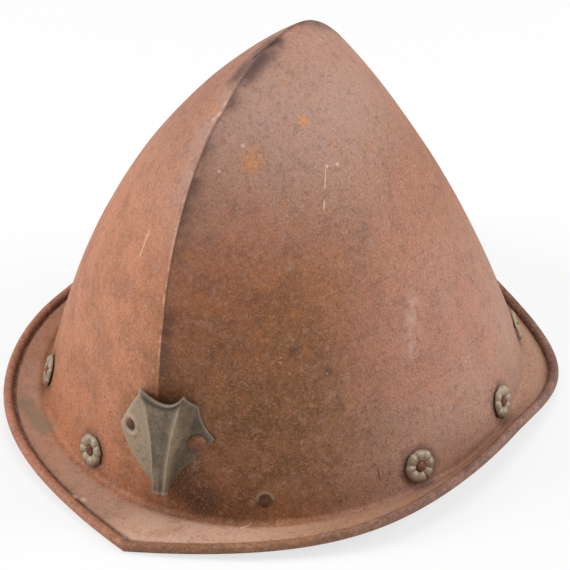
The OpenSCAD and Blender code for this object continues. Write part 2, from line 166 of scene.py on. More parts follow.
# %% The bench
class Bench:
    """Adds nodes to one tree."""

    def __init__(self, tree):
        self.tree = tree

    def add(self, kind, settings=None, sockets=None, out=0):
        node = self.tree.nodes.new(kind)
        for name, value in (settings or {}).items():
            setattr(node, name, value)
        for key, value in (sockets or {}).items():
            if isinstance(value, Flow):
                self.tree.links.new(value.socket, node.inputs[key])
            else:
                node.inputs[key].default_value = value
        column, row = divmod(len(self.tree.nodes), 8)
        node.location = (column * 190, -row * 170)
        found = node.outputs[out] if node.outputs else None
        return (Arrow if found is not None and found.type == "VECTOR" else Flow)(self, found)

    def arrow(self, x, y, z):
        return self.add("ShaderNodeCombineXYZ", {}, {0: x, 1: y, 2: z})

    def around(self, radius, angle, height):
        return self.arrow(radius * angle.cosine(), radius * angle.sine(), height)

    def attribute(self, name):
        return self.add("ShaderNodeAttribute", {"attribute_name": name}, out="Fac")

    def noise(self, place, scale, detail=2.0, roughness=0.5, seed=0.0):
        return self.add("ShaderNodeTexNoise", {"noise_dimensions": "4D"},
                        {"Vector": place, "W": seed, "Scale": scale, "Detail": detail,
                         "Roughness": roughness})

    def mix(self, factor, first, second):
        """The first colour where factor is 0 and the second where it is 1."""
        return self.add("ShaderNodeMix", {"data_type": "RGBA"}, {0: factor, 6: first, 7: second}, 2)


# %% [markdown]
# ## Colours in layers
# Node colours are linear light, and people judge colours as a screen shows them, so paint takes the
# familiar 0 to 255 values and gives the linear ones. A finish is built like a painting: a ground,
# then many thin layers, each laid on where its mask is high. A Coat holds the colour so far.

# %% Paint and coats
def paint(red, green, blue):
    parts = [v / 255 for v in (red, green, blue)]
    linear = [p / 12.92 if p <= 0.04045 else ((p + 0.055) / 1.055) ** 2.4 for p in parts]
    return tuple(linear) + (1,)


class Coat:
    """A colour that is built up in layers."""

    def __init__(self, bench, mask, first, second):
        self.bench, self.colour = bench, bench.mix(mask, paint(*first), paint(*second))

    def over(self, mask, *tone):
        """Lays a tone on: three numbers, or one Flow that holds a colour."""
        tone = paint(*tone) if len(tone) == 3 else tone[0]
        self.colour = self.bench.mix(mask, self.colour, tone)

    def speckle(self, noise, dark_share, dark, light_share, light):
        """The low values of a noise darken the coat and the high ones lighten it."""
        self.over(noise.step(0.47, 0.34) * dark_share, *dark)
        self.over(noise.step(0.54, 0.68) * light_share, *light)


# %% [markdown]
# ## Starting and closing a finish
# Each finish starts with an empty material and the place on the object, in metres, and closes with
# one shader and one bump. Marks that sit at one spot of the real helmet are masks round a point or
# along a line, given in millimetres.

# %% Helpers of the finishes
def new_finish(name):
    material = bpy.data.materials.new(name)
    material.use_nodes = True
    material.node_tree.nodes.clear()
    bench = Bench(material.node_tree)
    return material, bench, bench.add("ShaderNodeTexCoord", out="Object")


def close_finish(bench, sockets, height, depth, bump_strength):
    normal = bench.add("ShaderNodeBump", {}, {"Height": height, "Distance": depth,
                                              "Strength": bump_strength})
    shader = bench.add("ShaderNodeBsdfPrincipled", {}, {**sockets, "Normal": normal})
    bench.add("ShaderNodeOutputMaterial", {}, {"Surface": shader})


def near(place, spot, reach):
    """1 at a spot, fading to 0 at the reach."""
    away = place - tuple(v / 1000 for v in spot)
    return away.length().step(reach / 1000, 0.0)


def scratch(place, start, end, width):
    """1 along a scratch between two spots."""
    start = Vector(start) / 1000
    along = Vector(end) / 1000 - start
    from_start = place - tuple(start)
    share = from_start.dot(tuple(along / along.length_squared)).at_least(0.0).at_most(1.0)
    foot = place.bench.arrow(*along).scaled(share)
    return (from_start - foot).length().step(width / 1000, width / 4000)


def any_of(masks):
    """The highest of several masks."""
    return reduce(Flow.at_least, masks)


# %% [markdown]
# ## Rusted iron
# Old rust isn't one brown. Seen close it is a dense speckle of pink-grey, orange and purple-brown
# grains, about a millimetre wide. Over that lie patches of a few millimetres, and over those broad
# clouds, greyer near the top and on the right, browner low at the back. Each is a noise at its own
# size, from clouds down to dust. The skull's mesh will say where its brim, its roll, the groove
# beside the roll, its inside and the painted shadow round its rosettes are.

# %% Noises and masks of the iron
iron_finish, bench, place = new_finish("rusted_iron")
x, y, z = place.parts()
clouds = bench.noise(place, 15, 4, 0.55, 1.0)
mottle = bench.noise(place, 62, 5, 0.62, 2.0)
blotch = bench.noise(place, 210, 3, 0.6, 7.0)
grain = bench.noise(place, 560, 3, 0.7, 3.0)
dust = bench.noise(place, 1250, 2, 0.6, 4.0)
# Streaks run down the skull: they are stretched along the height
streak_x, streak_y, _ = bench.arrow(x, y - 0.0045, 0.0).math("NORMALIZE").parts()
streaks = bench.noise(bench.arrow(streak_x * 0.9, streak_y * 0.9, z * 0.8), 17, 3, 0.6, 5.0)
brim, roll, groove, inside, rosette_shadow = [
    bench.attribute(name) for name in ("brim", "roll", "groove", "inside", "rosette_shadow")]
low_back = near(place, (38, -104, 40), 96)
top, flank, left = z.step(0.10, 0.175), x.step(0.045, 0.10), x.step(0.0, -0.02)
rear, off_brim = y.step(-0.075, -0.12), 1.0 - brim

# %% [markdown]
# The ground is warm on the left of the keel and painted lighter there, as painted light where the
# left lamp falls; it is grey near the top and on the flank, and brown low at the back. Orange
# blooms and sparks lie over it, as they do where rust is still young.

# %% Ground colours of the skull
iron = Coat(bench, clouds.step(0.35, 0.65), (170, 105, 71), (152, 98, 61))
# Partly painted light: the face left of the keel is laid on lighter where the left lamp lights it
iron.over(left * 0.6, 194, 127, 92)
iron.over(mottle.step(0.42, 0.62) * 0.4, 126, 82, 60)
grey = (top * (0.7 - left * 0.45) + flank * 0.5) * (0.4 + clouds.step(0.2, 0.7) * 0.6)
iron.over(grey, 186, 154, 143)
iron.over(low_back * (0.3 + mottle.step(0.35, 0.6) * 0.42), 116, 78, 34)
iron.over(left * z.step(0.125, 0.165) * 0.55, 150, 104, 84)
bloom = bench.noise(place, 130, 4, 0.7, 6.0)
bloom = bloom.step(0.55, 0.72) * clouds.step(0.38, 0.6) + \
    bloom.step(0.5, 0.62) * near(place, (24, -85, 105), 70) * 0.6
iron.over(bloom.at_most(1.0) * 0.55, 184, 112, 52)
sparks = bench.noise(place, 330, 3, 0.65, 8.0)
iron.over(sparks.step(0.6, 0.7) * 0.4, 206, 128, 88)
iron.over(blotch.step(0.55, 0.7) * 0.42, 118, 92, 84)
iron.over(streaks.step(0.55, 0.8) * flank * 0.4, 188, 152, 138)

# %% [markdown]
# The brim is paler than the skull: partly dust, and partly a painted highlight where it faces up to
# the top lamp. Painted shade darkens the foot of the skull, the groove beside the roll and the ring
# round each rosette, and a painted shadow lies on the iron under the plume holder. The roll is
# painted lighter on the left, as painted light where the left lamp falls. The grains come last,
# because they lie over everything.

# %% Brim, roll, dirt and grains
flat_brim = brim.step(0.4, 1.0)
# Partly painted highlight: the brim is laid on paler where it faces up to the top lamp, and partly
# dust
iron.over(brim * (0.3 + clouds.step(0.3, 0.7) * 0.2), 178, 130, 98)
brim_rust_and_highlight = bench.mix(x.step(0.035, 0.08), paint(216, 177, 154), paint(178, 142, 118))
iron.over(flat_brim * (0.35 + clouds.step(0.3, 0.7) * 0.25 + rear * 0.3), brim_rust_and_highlight)
iron.over(flat_brim * mottle.step(0.5, 0.62) * 0.4, 182, 126, 90)
iron.over(flat_brim * left * rear * 0.45, 148, 104, 78)
# Painted shade at the foot of the skull at the back, just above the brim
foot_shade = z.step(0.021, 0.009) * off_brim * x.step(-0.01, 0.03) * y.step(-0.03, -0.09)
iron.over(foot_shade * x.step(0.06, 0.035) * 0.42, 88, 60, 34)
foot_glow = z.step(0.028, 0.012) * off_brim * x.step(0.035, 0.055) * rear
iron.over(foot_glow * 0.5, 176, 122, 72)
# The roll's rust is golden at the back and purple-brown on the right; on the left it is painted
# lighter, as painted light
roll_right = bench.mix(rear, paint(104, 74, 66), paint(140, 98, 72))
roll_rust_and_light = bench.mix(left, roll_right, paint(160, 106, 84))
iron.over(roll * (0.5 + mottle.step(0.4, 0.6) * 0.4), roll_rust_and_light)
# Painted shade in the groove beside the roll, stronger on the left
groove_shade = bench.mix(left, paint(84, 46, 38), paint(74, 48, 40))
iron.over(groove * (0.5 + left * 0.15 + blotch.step(0.4, 0.6) * 0.35), groove_shade)
# Painted shadow that the plume holder casts on the iron by its lower end
under_holder = scratch(place, (8, -113, 26), (20, -113, 14), 13)
iron.over(under_holder * off_brim * 0.55, 66, 42, 26)
# Painted shadow round each rosette
iron.over(rosette_shadow * 0.7, 70, 46, 36)
iron.over(inside * 0.6, 88, 58, 44)
calm = 1.0 - flat_brim * 0.25
iron.speckle(blotch, calm * 0.26, (96, 64, 50), calm * 0.26, (204, 152, 122))
iron.speckle(grain, calm * (0.26 + low_back * 0.24), (80, 50, 36), calm * 0.26, (208, 158, 132))
iron.speckle(dust, calm * (0.36 - top * 0.14), (80, 56, 48), calm * 0.3, (218, 172, 150))

# %% [markdown]
# The keel shows by a dark band of painted shade, with some dirt, just right of its edge, and a thin
# line just left of it that is partly rubbed and partly a painted highlight. A dark smudge lies near
# the crown, and dark knocks and pale scratches are scattered over the skull. They are this helmet's
# own, so each has its place.

# %% Keel
above_holder = z.step(0.066, 0.075)
# Painted shade, with some dirt, in a band just right of the keel
band = x.step(0.0075, 0.0008) * x.step(-0.0004, 0.0004) * above_holder
iron.over(band * (0.12 + mottle.step(0.4, 0.6) * 0.6), 82, 56, 48)
# Partly painted highlight: a thin line just left of the keel, partly rubbed
rubbed_and_highlight = x.step(-0.0019, -0.0009) * x.step(0.0002, -0.0004) * above_holder * z.step(0.165, 0.14)
iron.over(rubbed_and_highlight * blotch.step(0.46, 0.62) * 0.4, 206, 166, 146)
crest = x.step(-0.0012, -0.0004) * x.step(0.0012, 0.0004) * above_holder
iron.over(crest * (1.0 - rubbed_and_highlight) * 0.5, 104, 72, 58)
smudge = scratch(place, (-0.5, -2.0, 186.0), (-2.5, -30.0, 180.5), 9)
iron.over(smudge * (0.3 + mottle.step(0.35, 0.6) * 0.7) * 0.75, 84, 58, 58)

# %% [markdown]
# Where the rust is worn off, paler iron shows. A worn spot is a place and how far it reaches, and a
# scratch is two places and a width. The scratches are broken up by the grain, because a real one
# skips over the pits. The last three lines, on the brim beside the roll, are not scratches but
# painted highlights laid on in the same way. A smear and a patch of green from the brass lie beside
# them.

# %% Worn spots and scratches
worn_spots = [near(place, spot, reach) for *spot, reach in (
    (-2.4, -45.5, 175.7, 2.2), (-1.9, -51.0, 173.6, 2.8), (-3.2, -53.5, 171.7, 2.0),
    (12.7, -55.4, 163.4, 1.6), (8.4, -69.4, 156.7, 1.2), (40.3, -30.0, 146.8, 1.2),
    (42.5, -24.7, 145.6, 1.2), (45.5, -83.6, 79.4, 1.1), (45.7, -84.2, 77.0, 1.1),
    (-37.2, -127.4, 3.8, 2.4), (-32.8, -127.0, 3.5, 2.4), (-11.0, -109.5, 66.0, 1.0),
    (62.0, -71.5, 69.0, 1.0))]
scratches_and_highlight_lines = [scratch(place, *line) * grain.step(0.3, 0.5) for line in (
    ((98.7, -6.8, 47.4), (98.0, -12.7, 45.5), 0.5),
    ((31.0, -105.6, 31.0), (30.5, -107.5, 23.0), 0.6),
    ((24, -14, 171), (29, -24, 162), 0.35),
    ((2.0, 8.3, 184.9), (11.1, 27.2, 173.5), 0.4),
    ((-18.6, -84.2, 126.8), (-21.7, -88.0, 115.0), 0.6),
    ((40.5, -31.5, 146.2), (43.1, -37.2, 140.3), 0.35),
    ((44.6, -40.5, 136.5), (45.7, -43.1, 133.6), 0.5),
    # These three lines on the brim beside the roll are painted highlights
    ((64, -111, 4.8), (46, -124, 4.2), 0.6),
    ((39.6, -112.2, 3.3), (42.0, -108.8, 3.6), 0.5),
    ((34, -116, 4.4), (41, -114, 4.6), 0.7))]
iron_wear_and_highlights = any_of(worn_spots + scratches_and_highlight_lines + [dust.step(0.745, 0.8) * (0.85 - brim * 0.45)])
smear = scratch(place, (81.5, -25.5, 84), (85.2, -34.5, 66.2), 7) * blotch.step(0.35, 0.65)
iron.over(smear * 0.38, 200, 172, 160)
verdigris = scratch(place, (-91, -81, 8), (-77, -90, 5.5), 8) * (0.5 + blotch)
iron.over(verdigris.at_most(1.0) * 0.6, 134, 126, 104)

# %% [markdown]
# The bare rivet stands in a dark smudge, under a broken pale arc that its lost rosette has left.
# With the last marks laid on, the grains also drive the bump and the roughness, so that the light
# finds them too.

# %% Bare rivet, flecks and dark marks
stub = near(place, (45.9, -100.6, 13.8), 6.0)
iron.over(stub.step(0.0, 0.5) * 0.45, 70, 48, 38)
arc_mark = stub.step(0.08, 0.25) * stub.step(0.55, 0.4) * z.step(0.0125, 0.015)
iron.over(arc_mark * blotch.step(0.38, 0.5) * 0.75, 172, 140, 118)
flecks = any_of([near(place, spot, reach) for *spot, reach in (
    (26.4, -25, 163.7, 5), (18, -56.4, 157.9, 9), (-7.0, -47.5, 174.0, 5))])
iron.over(flecks * grain.step(0.42, 0.56) * 0.85, 214, 136, 62)
# Worn iron, and the painted highlight lines on the brim
iron.over(iron_wear_and_highlights * 0.8, 224, 192, 168)
dark = any_of([near(place, spot, reach) for *spot, reach in (
    (3.0, -105.9, 98.3, 5.0), (1.8, -106.5, 93.0, 5.0), (49.5, -79.1, 81.1, 4.0),
    (62.1, -71.1, 69.5, 3.5), (95.0, -55.0, 8.0, 1.6), (106.8, -30.0, 10.5, 2.0))] +
    [scratch(place, (1.5, 0, 186.6), (-2.5, -17, 183.4), 1.6),
     scratch(place, (84.2, -66.2, 21.3), (85.9, -66.6, 15.5), 0.5)])
iron.over(dark * (0.35 + grain.step(0.3, 0.6) * 0.45), 56, 38, 34)

pits = grain.step(0.44, 0.34) * (0.4 + low_back * 0.5)
rough = 0.56 + mottle * 0.14 + pits * 0.15 - iron_wear_and_highlights * 0.12 - brim * 0.06
height = mottle * 0.5 + (grain * 0.5 + dust * 0.2) * calm - pits * 0.3
close_finish(bench, {"Base Color": iron.colour, "Roughness": rough, "Metallic": 0.0,
                     "Specular IOR Level": 0.34}, height, 0.0006, 0.8)
print("iron uses", len(iron_finish.node_tree.nodes), "nodes")

# %% [markdown]
# ## Old brass
# The holder and the rosettes are brass that has gone a dull olive grey. The metal only shows where
# fingers and time have rubbed the high edges. A bevelled normal would find those edges but doesn't
# survive the export, so the pieces carry attributes that their meshes set: edge where they are
# rubbed and where a painted highlight lies on the holder's folds and the rosettes' tops, dark for
# painted shade in hollows and grooves and for the holder's darker lip, and pale for the holder's
# left wing, painted lighter where the left lamp lights it.

# %% Brass of the holder and the rosettes
def old_brass(name, dull, pale):
    material, bench, place = new_finish(name)
    clouds = bench.noise(place, 110, 5, 0.65, 11.0)
    grain = bench.noise(place, 700, 3, 0.7, 12.0)
    spots = bench.noise(place, 280, 3, 0.6, 13.0).step(0.56, 0.7)
    rust = bench.noise(place, 150, 3, 0.6, 14.0)
    edge, dark, pale_side = [bench.attribute(mark) for mark in ("edge", "dark", "pale")]
    # Painted light: the holder's left wing is laid on paler where the left lamp lights it
    coat = Coat(bench, (clouds.step(0.4, 0.62) * 0.8 + pale_side * 0.7).at_most(1.0), dull, pale)
    coat.over(pale_side * 0.35, 176, 152, 130)
    coat.over(spots * 0.5, 84, 72, 58)
    coat.speckle(grain, 0.45, (62, 50, 40), 0.35, (176, 158, 136))
    # Rubbed edges, and painted highlights on the holder's folds and the rosettes' tops
    brass_rub_and_highlight = (edge * (0.6 + grain * 0.8)).at_most(1.0)
    coat.over(brass_rub_and_highlight * 0.7, 192, 172, 146)
    coat.over(rust.step(0.58, 0.74) * 0.4, 130, 86, 60)
    coat.over(grain.step(0.72, 0.78) * 0.8, 224, 210, 188)
    # Painted shade in hollows, grooves and on the holder's back, and the holder's darker lip
    coat.over(dark, 52, 42, 36)
    close_finish(bench, {"Base Color": coat.colour, "Roughness": 0.56 + grain * 0.18 - brass_rub_and_highlight * 0.12,
                         "Metallic": 0.12 + brass_rub_and_highlight * 0.3},
                 clouds * 0.5 + grain * 0.4 - spots * 0.3, 0.0005, 0.9)
    return material


brass_finish = old_brass("old_brass", (102, 88, 70), (136, 118, 96))
rosette_finish = old_brass("rosette_brass", (108, 95, 79), (152, 137, 117))

# %% [markdown]
# ## Iron of the rivets
# The rivets have rusted darker than the sheet. The plume holder's right rivet has an orange rim and
# a purple middle; its left one and the bare rivet are nearly black. All share one finish, because
# they are one slot, so those three are told apart by their places.

# %% Iron of the rivets
rivet_finish, bench, place = new_finish("rivet_iron")
clouds = bench.noise(place, 300, 4, 0.65, 21.0)
grain = bench.noise(place, 1200, 2, 0.6, 22.0)
coat = Coat(bench, clouds.step(0.35, 0.65), (88, 54, 42), (134, 82, 58))
coat.over(clouds.step(0.58, 0.72) * 0.6, 168, 110, 74)
coat.speckle(grain, 0.5, (54, 36, 32), 0.3, (176, 122, 92))
orange = near(place, (17.1, -113.5, 41), 9).step(0.0, 0.2)
coat.over(orange * (0.3 + clouds.step(0.4, 0.6) * 0.4), 168, 114, 80)
purple = near(place, (17.8, -112.4, 40.4), 5.6).step(0.1, 0.9)
coat.over(purple * (0.45 + clouds.step(0.6, 0.4) * 0.45), 88, 58, 58)
deep = any_of([near(place, (-15.4, -113.0, 40.2), 5.5).step(0.0, 0.4),
               near(place, (45.9, -102.0, 13.8), 6.0).step(0.0, 0.3)])
coat.over(deep * 0.6, 58, 40, 30)
close_finish(bench, {"Base Color": coat.colour, "Roughness": 0.58 + grain * 0.2,
                     "Specular IOR Level": 0.35}, clouds + grain * 0.4, 0.0004, 0.8)
print("rivet iron uses", len(rivet_finish.node_tree.nodes), "nodes")

# %% [markdown]
# ## Leather, linen and lace
# Nothing of the lining shows in the photograph, so it gets what such a helmet has: a dark oiled
# leather band, unbleached linen and a linen lace. Leather is cells of skin with pores between, so
# it is a Voronoi pattern.

# %% Leather of the band
leather_finish, bench, place = new_finish("band_leather")
pores = bench.add("ShaderNodeTexVoronoi", {"feature": "DISTANCE_TO_EDGE"},
                  {"Vector": place, "Scale": 620.0})
clouds = bench.noise(place, 45, 4, 0.6, 31.0)
creases = bench.noise(place, 300, 3, 0.6, 32.0)
coat = Coat(bench, clouds.step(0.3, 0.7), (78, 46, 30), (116, 72, 46))
coat.over(pores.step(0.12, 0.02) * 0.5, 44, 26, 18)
coat.over(creases.step(0.6, 0.75) * 0.4, 150, 104, 70)
close_finish(bench, {"Base Color": coat.colour, "Roughness": 0.48 + clouds * 0.2},
             pores.step(0.0, 0.2) * 0.7 + creases * 0.3, 0.0003, 0.8)

# %% [markdown]
# Linen is threads that cross. The cloth carries its own UV map, measured in metres along the weave,
# so that the threads follow the quilting: two sines make warp and weft, and a stretched noise makes
# the thick places of hand-spun thread. The cord is the same linen without a weave.

# %% Linen and its cord
thread_width = 0.0011
linen_finish, bench, place = new_finish("quilted_linen")
u, v, _ = bench.add("ShaderNodeUVMap", {"uv_map": "cloth"}).parts()
warp, weft = [(way * (2 * math.pi / thread_width)).sine() for way in (u, v)]
crossing = (warp * weft).step(-0.5, 0.5)
slubs = bench.noise(bench.arrow(u * 40, v * 900, 0.0), 1.0, 3, 0.6, 41.0)
clouds = bench.noise(place, 28, 4, 0.6, 42.0)
sweat = bench.noise(place, 12, 3, 0.6, 43.0)
coat = Coat(bench, crossing * 0.4 + slubs * 0.5, (150, 130, 98), (196, 178, 146))
coat.over(clouds.step(0.4, 0.7) * 0.5, 148, 122, 90)
coat.over(sweat.step(0.5, 0.72) * 0.5, 112, 84, 58)
coat.over(bench.attribute("seam") * 0.55, 82, 62, 44)
close_finish(bench, {"Base Color": coat.colour, "Roughness": 0.86 + slubs * 0.08,
                     "Sheen Weight": 0.25, "Sheen Roughness": 0.5},
             crossing + slubs * 0.4, 0.00025, 0.7)

cord_finish, bench, place = new_finish("linen_cord")
fibres = bench.noise(place, 900, 3, 0.6, 51.0)
clouds = bench.noise(place, 60, 3, 0.6, 52.0)
coat = Coat(bench, fibres.step(0.35, 0.65), (128, 104, 74), (188, 164, 126))
coat.over(clouds.step(0.45, 0.7) * 0.4, 104, 80, 54)
close_finish(bench, {"Base Color": coat.colour, "Roughness": 0.85 + clouds * 0.1,
                     "Sheen Weight": 0.2}, fibres, 0.0002, 0.7)
print("finishes:", len(bpy.data.materials))

# %% [markdown]
# ## The helmet's curves
# The skull is one rule. At each height a ring is drawn: an oval at the foot that pinches to a keel
# as it rises, with four short curves for its back, front, side and height. The numbers are the
# solid model's own, in millimetres, because the fine surface has to lie where the solid lies.

# %% Curves of the skull
crown_h, skull_half_w, crown_y = 186.0, 111.6, 2.2
skull_back, skull_front = 115.3, 124.2
sheet, keel_factor, foot_z, foot_arch = 1.6, 3.5, 2.6, 3.4
crest_half_l, crest_half_w = 30.0, 1.7
foot_mid = (skull_front - skull_back) / 2
foot_half_l = (skull_front + skull_back) / 2
height_curve = (foot_z, 0.59 * crown_h, 0.95 * crown_h, crown_h, crown_h)
side_curve = (skull_half_w, 0.785 * skull_half_w, 0.231 * skull_half_w, crest_half_w, 0.0)
back_curve = (-skull_back, -0.998 * skull_back, -0.886 * skull_back, crown_y - crest_half_l,
              crown_y)
front_curve = (skull_front, 0.989 * skull_front, 0.416 * skull_front, crown_y + crest_half_l,
               crown_y)


def bezier(controls, share):
    points = [c + 0 * share for c in controls]
    while len(points) > 1:
        points = [a * (1 - share) + b * share for a, b in zip(points, points[1:])]
    return points[0]


def lifted(y, z):
    """The foot of the skull arches up a little between its ends, and the crown doesn't."""
    lift = foot_arch * (1 - ((y - foot_mid) / foot_half_l) ** 2)
    return z + lift * np.clip(1 - (z - foot_z) / (crown_h - foot_z), 0, 1) ** 2


def wall(share, turn, inset=0.0):
    """The skull at a share of the way up. turn runs 0 to 4 from the back keel by the right side."""
    share, turn = np.broadcast_arrays(np.asarray(share, float), np.asarray(turn, float))
    quarter = np.floor(turn).astype(int) % 4
    part = turn - np.floor(turn)
    from_side = np.where(quarter % 2 == 0, 1 - part, part)
    forward = np.where((quarter == 1) | (quarter == 2), 1, -1)
    back, front = bezier(back_curve, share), bezier(front_curve, share)
    k = keel_factor * share
    half_l = ((front - back) / 2 - inset * (1 + 0.5 * share)) * (1 + k) / np.sqrt(1 + 2 * k)
    half_w = bezier(side_curve, share) - inset * (1 + 0.2 * share)
    angle = from_side * np.arccos(k / (1 + k))
    x = half_w * ((1 + k) * np.cos(angle) - k)
    y = (front + back) / 2 + forward * half_l * np.sin(angle)
    z = lifted(y, bezier(height_curve, share) - inset * share)
    return np.stack([np.where(quarter < 2, x, -x), y, z], -1)


# %% [markdown]
# Some places have no formula: the height of a rivet on the wall, or the point of the edge that lies
# straight out from the foot. They are found by halving a range again and again. The rolled edge
# itself is a smooth bow that swells a little and dips at both sides, where the helmet stands on it.

# %% Halving, and the curve of the brim's edge
def halve(low, high, is_below, times=28):
    """The number up to which is_below holds."""
    for _ in range(times):
        middle = (low + high) / 2
        below = is_below(middle)
        low, high = np.where(below, middle, low), np.where(below, high, middle)
    return (low + high) / 2


def share_at(height, turn, inset=0.0, high=0.9):
    """The share at which the wall reaches a height."""
    zero = np.zeros_like(height + turn)
    return halve(zero, zero + high, lambda share: wall(share, turn, inset)[..., 2] < height, 24)


brim_half_w, brim_half_l, brim_wide_y = 120.4, 145.9, -2.0
roll_r, wear, wire_r, wire_gap = 2.4, 0.15, 1.25, 0.05
edge_heights = (0.0, 6.9, 20.1, 17.9, -23.8, 15.4)
fullness_behind, fullness_before = 3.51, 2.77
swell_behind, swell_before = -4.7, 5.4


def edge(t):
    """The middle of the rolled edge on the right side; t is -1 behind and 1 in front."""
    away = np.abs(t)
    full = np.where(t < 0, fullness_behind, fullness_before)
    swell = np.where(t < 0, swell_behind, swell_before)
    return np.stack([brim_half_w * (1 - away ** full) + swell * np.sin(np.pi * away) ** 2,
                     brim_wide_y + (brim_half_l - np.sign(t) * brim_wide_y) * t,
                     roll_r - wear + bezier(edge_heights, (t + 1) / 2)], -1)


def bearing(points):
    """0 behind, 90 at the right side, 180 in front, round the foot's middle."""
    return np.degrees(np.arctan2(np.abs(points[..., 0]), foot_mid - points[..., 1]))


def edge_beside(foot):
    """The point of the rolled edge that lies straight out from a point of the foot."""
    wanted = bearing(foot)
    one = np.ones_like(wanted)
    found = edge(halve(-one, one, lambda t: bearing(edge(t)) < wanted))
    found[..., 0] = np.where(foot[..., 0] < 0, -found[..., 0], found[..., 0])
    return found


# %% [markdown]
# ## Meshes from rings
# Most pieces here are a grid of points rolled into a closed skin. One helper makes the mesh and
# keeps any attribute that the finish will read. The others join the points to faces, and close the
# ends with a pole where a piece needs it.

# %% Closed skins
def make_piece(name, points, faces, attributes=None, material=None, edges=()):
    mesh = bpy.data.meshes.new(name)
    mesh.from_pydata((np.asarray(points) / 1000).tolist(), edges, faces)
    mesh.validate()
    for label, values in (attributes or {}).items():
        mesh.attributes.new(label, "FLOAT", "POINT").data.foreach_set("value", np.ravel(values))
    mesh.shade_smooth()
    if material:
        mesh.materials.append(material)
    piece = bpy.data.objects.new(name, mesh)
    bpy.context.scene.collection.objects.link(piece)
    return piece


def grid_faces(columns, rows, close_rows=False):
    """Faces of a grid whose columns run round and close; rows close too where asked."""
    i, j = np.meshgrid(np.arange(columns), np.arange(rows if close_rows else rows - 1),
                       indexing="ij")
    next_i, next_j = (i + 1) % columns, (j + 1) % rows
    corners = [i * rows + j, i * rows + next_j, next_i * rows + next_j, next_i * rows + j]
    return np.stack([c.ravel() for c in corners], -1).tolist()


def skin_faces(columns, rows):
    """Faces of a grid closed by two poles, whose points follow the grid's."""
    faces = grid_faces(columns, rows)
    first, last = columns * rows, columns * rows + 1
    for i in range(columns):
        j = (i + 1) % columns
        faces.append([first, i * rows, j * rows])
        faces.append([last, j * rows + rows - 1, i * rows + rows - 1])
    return faces


# %% [markdown]
# ## The skull and its brim
# The smith raised the skull and the brim from one sheet, then turned the edge over a wire. The
# section below follows the sheet the same way: down the outside, through the soft corner where the
# skull meets the brim, over the roll, and back up the inside. The stations lie close together at
# the keel, where the surface turns quickly.

# %% Stations of the skull
quarter_steps = 84
crowding = 1.35
spread = np.linspace(0, 1, quarter_steps, endpoint=False)
quarter_in, quarter_out = spread ** crowding, 1 - (1 - spread) ** crowding
turns = np.concatenate([quarter_in, 1 + quarter_out, 2 + quarter_in, 3 + quarter_out])
feet = wall(0.0, turns)
edges = edge_beside(feet)
outward = edges - feet
outward[:, 2] = 0
outward /= np.linalg.norm(outward, axis=1, keepdims=True)
up = np.array([0.0, 0.0, 1.0])


def beside(out, rise):
    return edges + out * outward + rise * up


def arc(radius, start, end, count):
    angles = np.radians(np.linspace(start, end, count))
    return [beside(radius * np.cos(a), radius * np.sin(a)) for a in angles]


def unit(v):
    return v / np.linalg.norm(v, axis=-1, keepdims=True)


print("stations:", len(turns))

# %% [markdown]
# Each ring of the section is laid with a note of what it is part of, so that the finish knows the
# brim, the roll and the inside. The corner between the skull and the brim is a short curve, which
# starts a little up the wall and ends a little out on the brim.

# %% Section of the sheet
entry_rise, fillet_up, fillet_out = -0.3, 2.2, 3.5
entry = beside(-math.sqrt(roll_r ** 2 - entry_rise ** 2), entry_rise)
start = share_at(feet[:, 2] + fillet_up, turns, 0.0, 0.1)
fillet_end = feet + fillet_out * unit(entry - feet)
under = beside(-wire_r, entry_rise - sheet)
in_foot = wall(0.0, turns, sheet) - sheet * up
in_fillet_end = in_foot + (fillet_out + sheet) * unit(under - in_foot)
in_start = share_at(feet[:, 2] + fillet_up + 0.2, turns, sheet, 0.1)

wall_rings, inner_rings, inner_top = 86, 30, 0.8
section, brim_mark, roll_mark, groove_mark, inside_mark = [], [], [], [], []


def lay(rings, on_brim=0.0, on_roll=0.0, inside=0.0, in_groove=0.0):
    for ring in rings:
        section.append(ring)
        brim_mark.append(on_brim)
        roll_mark.append(on_roll)
        groove_mark.append(in_groove)
        inside_mark.append(inside)


lay([wall(start + (1 - start) * q * (0.55 + 0.45 * q), turns)
     for q in 1 - np.arange(1, wall_rings + 1) / wall_rings])
for q in np.linspace(0.14, 1, 7):
    lay([bezier([wall(start, turns), feet, fillet_end], q)], 0.7 * q * q)
lay([fillet_end * (1 - q) + entry * q for q in np.linspace(0.12, 0.84, 8)], 1.0)
lay([fillet_end * (1 - q) + entry * q for q in (0.92, 0.98)], 1.0, in_groove=1.0)
roll_arc = arc(roll_r, 180 - math.degrees(math.asin(entry_rise / roll_r)), -90, 22)
lay(roll_arc[:4], 0.0, 1.0, in_groove=1.0)
lay(roll_arc[4:6], 0.0, 1.0, in_groove=0.4)
lay(roll_arc[6:], 0.0, 1.0)
lay(arc(roll_r, -100, -100, 1), 0, 1, 1)
lay(arc(wire_r + wire_gap, -100, 235, 14), 0, 0, 1)
lay([under * (1 - q) + in_fillet_end * q for q in np.linspace(0, 1, 6)], 0, 0, 1)
lay([bezier([in_fillet_end, in_foot, wall(in_start, turns, sheet)], q)
     for q in np.linspace(0.2, 1, 5)], 0, 0, 1)
lay([wall(in_start + (inner_top - in_start) * q ** 1.4, turns, sheet)
     for q in np.arange(1, inner_rings + 1) / inner_rings], 0, 0, 1)
rings = np.stack(section, 1)
stations, ring_count = rings.shape[:2]
print("skull:", stations, "stations of", ring_count, "points")

# %% [markdown]
# A hand-made helmet isn't quite true. A few knocks push both faces of the sheet the same way, so
# that it keeps its thickness.

